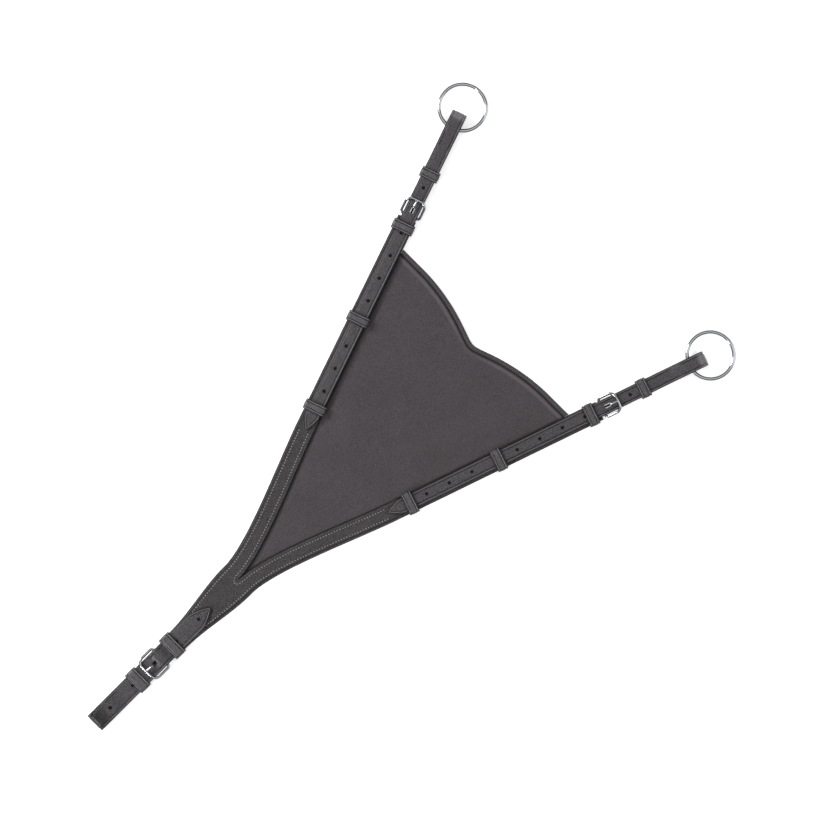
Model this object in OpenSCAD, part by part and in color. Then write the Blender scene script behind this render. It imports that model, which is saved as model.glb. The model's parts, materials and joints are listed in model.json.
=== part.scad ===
// Bib martingale: a Y-shaped leather yoke whose fork is filled by a leather bib.
// Each arm is lengthened by a buckled strap with a rein ring, and the stem ends
// in a buckled girth loop. Millimetres, lying flat: +Z up, +Y from the girth
// loop to the rings, X = 0 the plane that the two arms mirror in.

/* [Yoke] */
// Angle of each arm from the centre line, degrees
arm_angle = 19; // [15:0.5:24]
// Distance along an arm from the fork line to its buckle bar
arm_length = 358; // [300:1:430]
// Width of the yoke's arms
arm_w = 17.5; // [16:0.5:22]
// Width of the stem where its buckle hangs
stem_w = 20.6; // [19:0.2:26]
// Distance from the fork down to the girth buckle bar
stem_length = 100.5; // [84:0.5:130]
// Thickness of the yoke's backing leather
back_t = 2.6; // [2.4:0.1:3.6]
// Thickness of the yoke's top leather
top_t = 1.6; // [1.2:0.1:2.4]
// Border of backing leather that shows beside the top leather
border = 2.4; // [1.6:0.1:3.2]

/* [Bib] */
// Distance from the fork to the bib's top edge at the arms
bib_height = 311; // [250:1:330]
// Depth of the dip in the middle of the top edge
bib_dip = 16.2; // [10:0.2:26]
// Half-width of the dip
dip_reach = 80; // [60:1:95]
// Roundness of the dip's bottom
dip_round = 6.5; // [2:0.5:10]
// Thickness of the bib's face leather
face_t = 1.2; // [0.8:0.1:1.4]
// Thickness of the bib's lining
lining_t = 0.6; // [0.4:0.1:0.8]
// Diameter of the piping along the top edge
piping_d = 4; // [3:0.2:5]

/* [Straps] */
// Width of the ring straps
ring_strap_w = 14; // [12:0.5:15]
// Width of the girth strap
girth_strap_w = 18.5; // [16:0.5:19]
// Thickness of the strap leather
strap_t = 2.2; // [1.8:0.1:2.6]
// Length of a ring strap's tail behind its buckle bar
ring_tail = 214; // [180:1:240]
// Length of a ring strap from its buckle bar to the end of its loop
ring_reach = 103; // [92:1:130]
// Length of the girth strap's tail behind its buckle bar
girth_tail = 63; // [48:1:76]
// Length of the girth strap from its buckle bar to the end of its loop
girth_reach = 84; // [72:1:120]
// Diameter of the punched holes
hole_d = 3.2; // [2.8:0.1:3.6]
// Distance between a ring strap's holes
ring_hole_step = 22.6; // [18:0.2:28]
// Distance between the girth strap's holes
girth_hole_step = 28; // [22:0.5:33]
// Free height inside each loop
loop_gap = 6.4; // [6.2:0.1:9]

/* [Keepers] */
// Thickness of the keeper leather
keeper_t = 1.6; // [1.2:0.1:2]
// Length of a ring strap's keepers, measured along the strap
ring_keeper_l = 9.6; // [8:0.2:11]
// Length of the girth strap's keepers, measured along the strap
girth_keeper_l = 11.5; // [9:0.5:13]

/* [Metal] */
// Outer diameter of the rein rings
ring_d = 46; // [40:0.5:56]
// Diameter of the rein rings' wire
ring_wire_d = 3.6; // [3:0.1:3.8]
// Distance from the loop's end back to the ring's wire
ring_slack = 15.9; // [12:0.1:17]
// Diameter of the buckles' bars
bar_d = 2.6; // [2.2:0.1:3]
// Distance between the bars of a ring strap's buckle
ring_buckle_l = 14.5; // [13.5:0.1:17]
// Distance between the bars of the girth buckle
girth_buckle_l = 17; // [15:0.1:20]

/* [Hidden] */

leather = [0.25, 0.24, 0.24];
bib_leather = [0.36, 0.33, 0.33];
steel = [0.85, 0.85, 0.87];

// Clearances
lay = 0.1;          // between leathers that lie on each other
slip = 0.3;         // between leather and what slides or turns in it
fit = 0.05;         // radial, between a bar and what turns on it
side_room = 1;      // between a strap's edge and its buckle's side bars

// Heights above the surface that the part lies on
bib_t = face_t + lining_t;
yoke_t = back_t + top_t;
lower_z = keeper_t + slip;                  // underside of a strap's lower run
upper_z = max(yoke_t, lower_z + strap_t) + lay;   // underside of its upper run
fold_z = 0.3;                               // underside of a loop's end
hole_r = hole_d / 2;
bar_r = bar_d / 2;

// Arms: a straight line at arm_angle, reached from the fork by one Bezier curve
arm_dir = [sin(arm_angle), cos(arm_angle)];
arm_side = [cos(arm_angle), -sin(arm_angle)];
arm_foot = [5.8, 0];                        // where the straps' centre line meets Y = 0
arm_shift = 1;                              // the yoke's arm lies this far outside the strap
bend_end_s = 143;                           // along the arm, where the curve ends
bend_pull = 50;                             // length of the curve's handles
bend_start = [arm_w / 2, 0];               // the two arms meet side by side at the fork
curve_steps = 24;

function arm_point(s, w = 0) = arm_foot + s * arm_dir + w * arm_side;
function bezier(p0, p1, p2, p3, t) =
    pow(1 - t, 3) * p0 + 3 * pow(1 - t, 2) * t * p1 + 3 * (1 - t) * t * t * p2 + t * t * t * p3;
function unit(v) = v / norm(v);
function smooth(x) = let (c = max(0, min(1, x))) c * c * (3 - 2 * c);

bend_end = arm_point(bend_end_s, arm_shift);
bend_path = [for (i = [0:curve_steps]) bezier(
    bend_start, bend_start + [1.5, 0.62 * bend_pull],
    bend_end - bend_pull * [sin(arm_angle + 1.2), cos(arm_angle + 1.2)], bend_end, i / curve_steps)];

// Side of the yoke's arm: w = distance right of its centre line, up to the length s
function arm_edge(w, s) = concat(
    [for (i = [0:curve_steps])
        let (a = bend_path[max(0, i - 1)], b = bend_path[min(curve_steps, i + 1)], d = unit(b - a))
        bend_path[i] + w * [d[1], -d[0]]],
    [arm_point(s, arm_shift + w)]);
function reversed(list) = [for (i = [len(list) - 1:-1:0]) list[i]];

// Stem: half of its width at a distance d below the fork
stem_taper_from = 4;
function stem_half(d, inset) = let (k = smooth((d - stem_taper_from) / (stem_taper_to - stem_taper_from)))
    (1 - k) * arm_w + k * stem_w / 2 - inset;

// Buckles: heights of their bars, and the place of the hole that the tongue goes through
ring_bar_z = back_t + 0.2;
girth_bar_z = strap_t + fold_z + bar_r + 1.1;
chape_t = 0.9;
hump_l = 9;         // a strap climbs over its bar within this distance on each side
front_bar_z = upper_z + strap_t + slip + bar_r;
ring_hole_u = 5.2;
girth_hole_u = 7.6;

// Places along a ring strap, from its buckle bar towards the ring
ring_wire_u = ring_reach - ring_slack;
buckle_keeper_u = -(ring_keeper_l / 2 + 7);
keeper_drop = 74.92;                        // the upper keeper lies this far below the bib's top
upper_keeper_u = bib_height / cos(arm_angle) - arm_length - keeper_drop;
lower_keeper_u = -ring_tail + 21.5;
running_keeper_u = 41;
ring_fold_end = ring_hole_u + ring_hole_step - 6;   // the folded end backs the first hole past the buckle
loop_taper = 18;

// Places along the girth strap, from its buckle bar towards the loop's end
girth_keeper_u = -(girth_keeper_l / 2 + hump_l);
stem_taper_to = stem_length + girth_keeper_u - girth_keeper_l / 2 - 0.5;   // straight where the keeper holds it
girth_runner_u = 29;
girth_fold_end = -18;
girth_taper_to = girth_reach - 18;

// Middle of the whole object's length, so that the origin is under its middle
ring_lift = fold_z + strap_t + loop_gap / 2;   // height of the wire inside its loop
ring_r = (ring_d - ring_wire_d) / 2;
ring_lie = asin((ring_lift - ring_wire_d / 2) / (2 * ring_r));
ring_centre = arm_point(arm_length + ring_wire_u + ring_r * cos(ring_lie));
ring_top = ring_centre[1] + ring_wire_d / 2
    + ring_r * sqrt(pow(sin(arm_angle), 2) + pow(cos(ring_lie) * cos(arm_angle), 2));
middle_y = (ring_top - stem_length - girth_reach) / 2;

module placed() { translate([0, -middle_y, 0]) children(); }
module at_right_arm() {
    placed() translate([arm_point(arm_length)[0], arm_point(arm_length)[1], 0])
        rotate(-arm_angle) children();
}
module at_left_arm() { mirror([1, 0, 0]) at_right_arm() children(); }
module at_stem() { placed() translate([0, -stem_length, 0]) rotate(180) children(); }

// --- Yoke -------------------------------------------------------------------

// Closes an outline whose right half runs from the centre line back to it
function both_sides(right) = concat(right, [for (p = reversed(right)) if (p[0] > 0) [-p[0], p[1]]]);
function skip_first(list) = [for (i = [1:len(list) - 1]) list[i]];

// Outline of the yoke, its outer edges drawn in by inset
module yoke_outline(inset, arm_s, stem_d) {
    stem_steps = 20;
    taper_d = min(stem_d, stem_taper_to);
    stem = concat([for (i = [0:stem_steps]) let (d = taper_d * i / stem_steps) [stem_half(d, inset), -d]],
        stem_d > taper_d ? [[stem_half(stem_d, inset), -stem_d]] : []);
    inner = skip_first(arm_edge(-arm_w / 2, arm_s));
    outer = skip_first(arm_edge(arm_w / 2 - inset, arm_s));
    polygon(both_sides(concat([[0, 0]], inner, reversed(outer), stem)));
}

// Outline of the bib: its sides lie w right of the arms' centre line
module bib_outline(w, drop) {
    far_s = bib_height / cos(arm_angle) + 20;
    intersection() {
        polygon(both_sides(concat([for (p = skip_first(arm_edge(w, far_s))) p], [[0, far_s]])));
        polygon(concat([for (p = top_edge(200)) p - [0, drop]], [[200, 0], [-200, 0]]));
    }
}

// Two lobes that meet in a rounded notch: a parabola in the distance from the centre line
function bib_top(x) = bib_height
    - bib_dip * pow(max(0, dip_reach - norm([x, dip_round])) / (dip_reach - dip_round), 2);
function top_edge(reach) = [for (i = [0:96]) let (x = reach * (i / 48 - 1)) [x, bib_top(x)]];

module yoke_backing() {
    color(leather) placed() difference() {
        linear_extrude(back_t)
            yoke_outline(0, arm_length - chape_room, stem_length + girth_fold_end - lay);
        translate([0, 0, -1]) linear_extrude(bib_t + lay + 1) bib_outline(slip, -slip - piping_d);
    }
}

module yoke_top() {
    color(leather) placed() translate([0, 0, back_t]) linear_extrude(top_t)
        yoke_outline(border, arm_length - chape_leg - lay, stem_length - chape_leg - lay);
}

// --- Bib --------------------------------------------------------------------

module bib_lining() {
    color(leather) placed() linear_extrude(lining_t) bib_outline(0, piping_d / 2 + lay);
}

module bib_face() {
    color(bib_leather) placed() translate([0, 0, lining_t]) linear_extrude(face_t)
        bib_outline(0, piping_d / 2 + lay);
}

// A round roll carried along the bib's top edge, from arm to arm
module bib_piping() {
    sides = 10;
    rings = 49;
    reach = arm_point(bib_height / cos(arm_angle), arm_shift - arm_w / 2)[0] - piping_d / 2;
    centre = [for (i = [0:rings - 1]) let (x = reach * (2 * i / (rings - 1) - 1)) [x, bib_top(x)]];
    points = [for (i = [0:rings - 1])
        let (d = unit(centre[min(rings - 1, i + 1)] - centre[max(0, i - 1)]))
        for (j = [0:sides - 1])
            let (a = 360 * j / sides, r = piping_d / 2)
            [centre[i][0] - d[1] * r * cos(a), centre[i][1] + d[0] * r * cos(a), r + r * sin(a)]];
    walls = [for (i = [0:rings - 2]) for (j = [0:sides - 1])
        let (a = i * sides + j, b = i * sides + (j + 1) % sides) [b, a, a + sides, b + sides]];
    start = [for (j = [0:sides - 1]) j];
    end = [for (j = [sides - 1:-1:0]) (rings - 1) * sides + j];
    color(bib_leather) placed() polyhedron(points, concat(walls, [start, end]));
}

// --- Straps -----------------------------------------------------------------

// Draws a side view, given as [distance along the strap, height], w wide
module across(w) { translate([-w / 2, 0, 0]) rotate([90, 0, 90]) linear_extrude(w) children(); }

// Plan of a strap w wide whose tail ends in a curved point
module strap_plan(w, tail, reach) {
    steps = 8;
    point_l = 0.95 * w;
    side = [for (i = [0:steps]) let (k = i / steps) [w / 2 * pow(k, 0.62), -tail + point_l * k]];
    polygon(concat([[w / 2, reach]], reversed(side), [for (p = side) [-p[0], p[1]]], [[-w / 2, reach]]));
}

// Underside of the upper run at u: it climbs over the bar and opens into the loop
function upper_run(u, bar_z, taper_to) = upper_z
    + (bar_z + bar_r + fit + chape_t + lay - upper_z) * (1 - smooth(abs(u) / hump_l))
    + (fold_z + strap_t + loop_gap - upper_z) * smooth((u - taper_to + loop_taper) / loop_taper);
// Underside of the lower run at u, which dips under the buckle where dip_to is above its end
function lower_run(u, taper_to, dip_to) = fold_z + (lower_z - fold_z)
    * (smooth((u - dip_to + 12) / 12) - smooth((u - taper_to + loop_taper) / loop_taper));

module strap(w, tail, reach, fold_end, bar_z, taper_to, dip_to, tongue_u, hole_step, holes) {
    run_steps = 90;
    turn_steps = 12;
    outer_r = loop_gap / 2 + strap_t;
    end_u = reach - outer_r;
    mid_z = fold_z + outer_r;
    upper_us = [for (i = [0:run_steps]) -hump_l + (end_u + hump_l) * i / run_steps];
    lower_us = [for (i = [0:run_steps / 2]) end_u + (fold_end - end_u) * i / (run_steps / 2)];
    top = concat([[-tail, upper_z + strap_t]],
        [for (u = upper_us) [u, upper_run(u, bar_z, taper_to) + strap_t]]);
    under = concat([[-tail, upper_z]], [for (u = upper_us) [u, upper_run(u, bar_z, taper_to)]]);
    function turn(r) = [for (i = [1:turn_steps - 1]) let (a = 90 - 180 * i / turn_steps)
        [end_u + r * cos(a), mid_z + r * sin(a)]];
    low = [for (u = lower_us) [u, lower_run(u, taper_to, dip_to)]];
    difference() {
        intersection() {
            across(w) polygon(concat(
                top, turn(outer_r), low,
                [for (p = reversed(low)) p + [0, strap_t]], reversed(turn(loop_gap / 2)), reversed(under)));
            linear_extrude(40) strap_plan(w, tail, reach + 1);
        }
        for (n = holes) translate([0, tongue_u + n * hole_step, upper_z - lay / 2])
            cylinder(r = hole_r, h = 20, $fn = 24);
        translate([-hole_r, tongue_u - tongue_slot / 2, upper_z - lay / 2])
            cube([hole_d, tongue_slot, 20]);
    }
}

module ring_strap() {
    color(leather) strap(ring_strap_w, ring_tail, ring_reach, ring_fold_end, ring_bar_z,
        ring_wire_u - 3, ring_fold_end, ring_hole_u, ring_hole_step, [-8:1:1]);
}

module girth_strap() {
    color(leather) at_stem() strap(girth_strap_w, girth_tail, girth_reach, girth_fold_end, girth_bar_z,
        girth_taper_to, girth_buckle_l + 3, girth_hole_u, girth_hole_step, [-2:1:2]);
}

// --- Buckles ----------------------------------------------------------------

chape_leg = 14;     // length of the chape's legs behind the bar
chape_room = 3.2;   // the backing ends this far behind the bar
tongue_w = 2.2;
tongue_t = 1.6;
tongue_slot = 5.2;
collar_r = bar_r + 0.9;
side_r = bar_r + 0.3;   // the frame's sides are this deep about the line between the bars

// Leather turned round a buckle's rear bar, w wide, slotted for the tongue
module chape(w, bar_z) {
    color(leather) difference() {
        union() {
            translate([-w / 2, -chape_leg, back_t]) cube([w, chape_leg, top_t]);
            translate([-w / 2, 0, bar_z]) rotate([0, 90, 0])
                cylinder(r = bar_r + fit + chape_t, h = w, $fn = 48);
        }
        translate([-w, 0, bar_z]) rotate([0, 90, 0]) cylinder(r = bar_r + fit, h = 2 * w, $fn = 48);
        translate([-tongue_w / 2 - slip, -collar_r - slip, -1]) cube([tongue_w + 2 * slip, 20, 20]);
    }
}

// Rear bar, front bar and two sloping sides round a strap w wide
module buckle_frame(w, l, bar_z) {
    inner_w = w + 2 * side_room;
    rise = front_bar_z - bar_z;
    slope = atan(rise / l);
    end_steps = 12;
    function turned(a, far) = [far * l + side_r * cos(a), bar_z + far * rise + side_r * sin(a)];
    profile = concat(
        [for (i = [0:end_steps]) turned(slope - 90 + 180 * i / end_steps, 1)],
        [for (i = [0:end_steps]) turned(slope + 90 + 180 * i / end_steps, 0)]);
    color(steel) union() {
        for (y = [0, 1]) translate([-(inner_w + bar_d) / 2, y * l, bar_z + y * rise]) rotate([0, 90, 0])
            cylinder(r = bar_r, h = inner_w + bar_d, $fn = 48);
        for (side = [-1, 1]) translate([side * (inner_w + bar_d) / 2, 0, 0]) across(bar_d) polygon(profile);
    }
}

// Collar on the rear bar, then a pin up through the strap's hole onto the front bar
module buckle_tongue(l, bar_z, knee) {
    rest_z = front_bar_z + bar_r + fit;
    half = tongue_t / 2;
    color(steel) difference() {
        union() {
            translate([-tongue_w / 2, 0, bar_z]) rotate([0, 90, 0])
                cylinder(r = collar_r, h = tongue_w, $fn = 48);
            across(tongue_w) polygon([
                [0, bar_z + half], knee + [-0.4, half], knee + [4, 6.5 + half], [l + 1.8, rest_z + tongue_t],
                [l + 2.4, rest_z + half], [l + 1.8, rest_z], knee + [5.2, rest_z - knee[1]], knee + [0.6, -half],
                [0, bar_z - half]]);
        }
        translate([-tongue_w, 0, bar_z]) rotate([0, 90, 0])
            cylinder(r = bar_r + fit, h = 2 * tongue_w, $fn = 48);
    }
}

// --- Keepers ----------------------------------------------------------------

keeper_top = upper_z + strap_t + slip;

// A bridge over the strap, w wide inside, whose legs end at the two given heights
module bridge_keeper(w, l, u, shift, inner_foot, outer_foot) {
    color(leather) translate([shift, u - l / 2, 0]) rotate([90, 0, 180]) mirror([1, 0, 0]) linear_extrude(l)
        polygon([
            [-w / 2 - keeper_t, inner_foot], [-w / 2, inner_foot], [-w / 2, keeper_top], [w / 2, keeper_top],
            [w / 2, outer_foot], [w / 2 + keeper_t, outer_foot], [w / 2 + keeper_t, keeper_top + keeper_t],
            [-w / 2 - keeper_t, keeper_top + keeper_t]]);
}

// A closed loop that slides along both runs of a strap
module running_keeper(w, l, u) {
    inner_w = w + 2 * slip;
    color(leather) difference() {
        translate([-inner_w / 2 - keeper_t, u - l / 2, 0])
            cube([inner_w + 2 * keeper_t, l, keeper_top + keeper_t]);
        translate([-inner_w / 2, u - l, keeper_t]) cube([inner_w, 2 * l, keeper_top - keeper_t]);
    }
}

// --- Rein ring --------------------------------------------------------------

module rein_ring() {
    color(steel) translate([0, ring_wire_u, ring_lift]) rotate([-ring_lie, 0, 0]) translate([0, ring_r, 0])
        rotate_extrude($fn = 96) translate([ring_r, 0]) circle(d = ring_wire_d, $fn = 32);
}

// Draws one piece of an arm's buckled strap in the arm's own frame
module arm_piece(name) {
    if (name == "chape") chape(ring_strap_w, ring_bar_z);
    if (name == "buckle_frame") buckle_frame(ring_strap_w, ring_buckle_l, ring_bar_z);
    if (name == "buckle_tongue") buckle_tongue(ring_buckle_l, ring_bar_z, [ring_hole_u - 1.8, 3]);
    if (name == "ring_strap") ring_strap();
    if (name == "ring") rein_ring();
    if (name == "buckle_keeper") bridge_keeper(arm_w, ring_keeper_l, buckle_keeper_u, arm_shift, 0, 0);
    if (name == "upper_keeper") bridge_keeper(arm_w, ring_keeper_l, upper_keeper_u, arm_shift, bib_t, 0);
    if (name == "lower_keeper") bridge_keeper(arm_w, ring_keeper_l, lower_keeper_u, arm_shift, bib_t, 0);
    if (name == "running_keeper") running_keeper(ring_strap_w, ring_keeper_l, running_keeper_u);
}

yoke_backing();
yoke_top();
bib_face();
bib_lining();
bib_piping();
for (name = ["chape", "buckle_frame", "buckle_tongue", "ring_strap", "ring", "buckle_keeper",
        "upper_keeper", "lower_keeper", "running_keeper"]) {
    at_left_arm() arm_piece(name);
    at_right_arm() arm_piece(name);
}
at_stem() chape(girth_strap_w, girth_bar_z);  // girth_chape
at_stem() buckle_frame(girth_strap_w, girth_buckle_l, girth_bar_z);  // girth_buckle_frame
at_stem() buckle_tongue(girth_buckle_l, girth_bar_z, [girth_hole_u - 1.7, 3.9]);  // girth_buckle_tongue
girth_strap();
at_stem() bridge_keeper(stem_w, girth_keeper_l, girth_keeper_u, 0, 0, 0);  // girth_buckle_keeper
at_stem() running_keeper(girth_strap_w, girth_keeper_l, girth_runner_u);  // girth_running_keeper
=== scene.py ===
"""A leather bib martingale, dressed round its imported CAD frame.

Every shape is worked out in millimetres in the frame of its own assembly: x across
the strap, u along it away from the yoke, z up from the surface that it lies on. A
Placement then turns it into the row's frame, in metres.
"""

from __future__ import annotations

import json
import logging
import math
from dataclasses import dataclass, field
from enum import Enum
from typing import Callable, ClassVar

import bmesh
import bpy
import numpy as np
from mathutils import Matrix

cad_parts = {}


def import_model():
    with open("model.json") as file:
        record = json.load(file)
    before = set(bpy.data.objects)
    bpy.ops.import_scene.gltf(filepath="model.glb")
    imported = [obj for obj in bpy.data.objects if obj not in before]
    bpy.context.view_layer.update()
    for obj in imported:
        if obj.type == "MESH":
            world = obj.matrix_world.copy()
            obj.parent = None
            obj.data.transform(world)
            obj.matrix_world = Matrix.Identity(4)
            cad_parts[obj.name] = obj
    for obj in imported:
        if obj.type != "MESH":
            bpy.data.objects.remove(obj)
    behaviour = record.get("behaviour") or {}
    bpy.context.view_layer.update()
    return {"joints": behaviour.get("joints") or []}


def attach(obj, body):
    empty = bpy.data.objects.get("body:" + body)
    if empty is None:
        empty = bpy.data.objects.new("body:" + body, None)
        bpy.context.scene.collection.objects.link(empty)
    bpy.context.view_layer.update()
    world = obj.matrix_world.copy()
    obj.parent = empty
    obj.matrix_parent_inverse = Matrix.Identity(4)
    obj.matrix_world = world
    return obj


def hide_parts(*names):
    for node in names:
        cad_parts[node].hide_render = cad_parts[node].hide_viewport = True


LOG = logging.getLogger("martingale")
MM = 0.001
HARNESS = "harness"   # the CAD body that everything is sewn to
SHARP = 40.0          # degrees between faces past which an edge stays sharp
WELD = 2e-6           # metres within which points are welded
Array = np.ndarray


class Slot(Enum):
    """The record's material slots."""

    YOKE = "yoke_leather"
    STRAP = "strap_leather"
    KEEPER = "keeper_leather"
    BIB = "bib_leather"
    LINING = "lining"
    STEEL = "steel"


# --- Places -----------------------------------------------------------------


@dataclass(frozen=True)
class Placement:
    """Where an assembly's own frame lies in the row's frame.

    Attributes:
        origin: the place of x = u = z = 0, in metres.
        along: the unit direction of +u in the row's XY plane.
        flip: -1 where +x is mirrored, which the left arm is.
    """

    origin: tuple[float, float]
    along: tuple[float, float]
    flip: int = 1

    def points(self, local: Array) -> Array:
        """Takes local points to the row's frame: origin + x * side + u * along.

        Args:
            local: points x, u, z in millimetres.

        Returns:
            The same points in metres.
        """
        along = np.array(self.along)
        side = self.flip * np.array([along[1], -along[0]])
        out = np.empty_like(local, dtype=float)
        out[..., :2] = np.array(self.origin) + MM * (local[..., :1] * side + local[..., 1:2] * along)
        out[..., 2] = MM * local[..., 2]
        return out


def placement(frame: dict, tongue: str, runner: str, flip: int = 1) -> Placement:
    """The frame of a buckled strap: at its tongue's hinge, along its running keeper's slide.

    Args:
        tongue: the name of the joint through the buckle's rear bar.
        runner: the name of the joint along the strap.
        flip: -1 on the left arm.

    Returns:
        The strap's placement.
    """
    joints = {joint["name"]: joint for joint in frame["joints"]}
    place = joints[tongue]["pos_m"]
    axis = joints[runner]["axis"]
    return Placement((place[0], place[1]), (axis[0], axis[1]), flip)


# --- Curves -----------------------------------------------------------------


def smooth(x: Array | float) -> Array:
    """Smoothstep: 3c^2 - 2c^3 with c the value held between 0 and 1."""
    c = np.clip(x, 0.0, 1.0)
    return c * c * (3 - 2 * c)


def fade(d: Array, start: float, length: float) -> Array:
    """1 up to start, 0 from start + length on, a smoothstep between."""
    return 1 - smooth((d - start) / length)


def gauss(x: Array, width: float) -> Array:
    """A bump of height 1 at x = 0: exp(-(x / width)^2)."""
    return np.exp(-((x / width) ** 2))


def arc(centre: tuple[float, float], r: float, start: float, end: float, steps: int) -> Array:
    """Points centre + r (cos a, sin a) with a from start to end degrees."""
    a = np.radians(np.linspace(start, end, steps))
    return np.stack([centre[0] + r * np.cos(a), centre[1] + r * np.sin(a)], axis=1)


def resample(path: Array, step: float) -> Array:
    """The same polyline with its points about a step apart, by linear interpolation along its length.

    Args:
        path: the points, with repeats left out before measuring.
        step: the distance wanted between them.

    Returns:
        The new points, both ends kept.
    """
    gaps = np.linalg.norm(np.diff(path, axis=0), axis=1)
    keep = np.concatenate([[True], gaps > 1e-6])
    path = path[keep]
    length = np.concatenate([[0], np.cumsum(np.linalg.norm(np.diff(path, axis=0), axis=1))])
    count = max(2, int(round(length[-1] / step)) + 1)
    at = np.linspace(0, length[-1], count)
    return np.stack([np.interp(at, length, path[:, k]) for k in range(path.shape[1])], axis=1)


def normals_2d(path: Array, closed: bool) -> Array:
    """Unit normals of a plane path: its central-difference tangent turned a quarter turn left.

    Args:
        path: the points.
        closed: whether its end meets its start.

    Returns:
        One normal a point.
    """
    if closed:
        tangent = np.roll(path, -1, axis=0) - np.roll(path, 1, axis=0)
    else:
        tangent = np.gradient(path, axis=0)
    tangent /= np.linalg.norm(tangent, axis=1, keepdims=True)
    return np.stack([-tangent[:, 1], tangent[:, 0]], axis=1)


# --- Meshes -----------------------------------------------------------------


@dataclass
class Patch:
    """One surface.

    Attributes:
        points: its points in millimetres.
        faces: its faces, as lists of point numbers.
        edge: its tone at each point: up to 1 where the leather is cut and dyed dark, or where shade is
            painted in creases, seams and recesses, down to -1 where a highlight is painted pale, 0
            elsewhere.
    """

    points: Array
    faces: list
    edge: Array


def grid_faces(rows: int, columns: int, wrap_rows: bool, wrap_columns: bool) -> list:
    """Quads of a grid of points, row after row.

    Args:
        rows: number of rows.
        columns: number of points in each.
        wrap_rows: whether the last row joins the first.
        wrap_columns: whether each row's last point joins its first.

    Returns:
        The faces.
    """
    i, j = np.meshgrid(np.arange(rows if wrap_rows else rows - 1),
                       np.arange(columns if wrap_columns else columns - 1), indexing="ij")
    i, j = i.ravel(), j.ravel()
    down, right = (i + 1) % rows, (j + 1) % columns
    here, below = i * columns, down * columns
    return np.stack([here + j, here + right, below + right, below + j], axis=1).tolist()


def end_caps(rows: int, columns: int) -> list:
    """The first and the last row of a grid of points, each as one face."""
    return [list(range(columns)), list(range((rows - 1) * columns, rows * columns))]


def join(patches: list[Patch]) -> Patch:
    """Several patches as one, with each one's faces counted on from the last one's points.

    Args:
        patches: the patches.

    Returns:
        The patch of them all.
    """
    faces, start = [], 0
    for patch in patches:
        faces += [[v + start for v in face] for face in patch.faces]
        start += len(patch.points)
    return Patch(np.concatenate([patch.points for patch in patches]), faces,
                 np.concatenate([patch.edge for patch in patches]))


def build(name: str, patch: Patch, place: Placement, sharp: float = SHARP) -> bpy.types.Object:
    """Makes a mesh object at the origin from a patch, welded, facing outwards and smooth-shaded.

    Args:
        name: the object's name.
        patch: the surface in local millimetres.
        place: where it lies.
        sharp: the angle in degrees past which an edge stays sharp.

    Returns:
        The new object.
    """
    points = place.points(patch.points)
    mesh = bpy.data.meshes.new(name)
    mesh.from_pydata(points.tolist(), [], patch.faces)
    mesh.attributes.new("edge", "FLOAT", "POINT").data.foreach_set("value", patch.edge.astype(np.float32))
    work = bmesh.new()
    work.from_mesh(mesh)
    bmesh.ops.remove_doubles(work, verts=work.verts, dist=WELD)
    bmesh.ops.recalc_face_normals(work, faces=work.faces)
    work.to_mesh(mesh)
    work.free()
    mesh.polygons.foreach_set("use_smooth", np.ones(len(mesh.polygons), bool))
    mesh.set_sharp_from_angle(angle=math.radians(sharp))
    piece = bpy.data.objects.new(name, mesh)
    bpy.context.scene.collection.objects.link(piece)
    return piece


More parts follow.
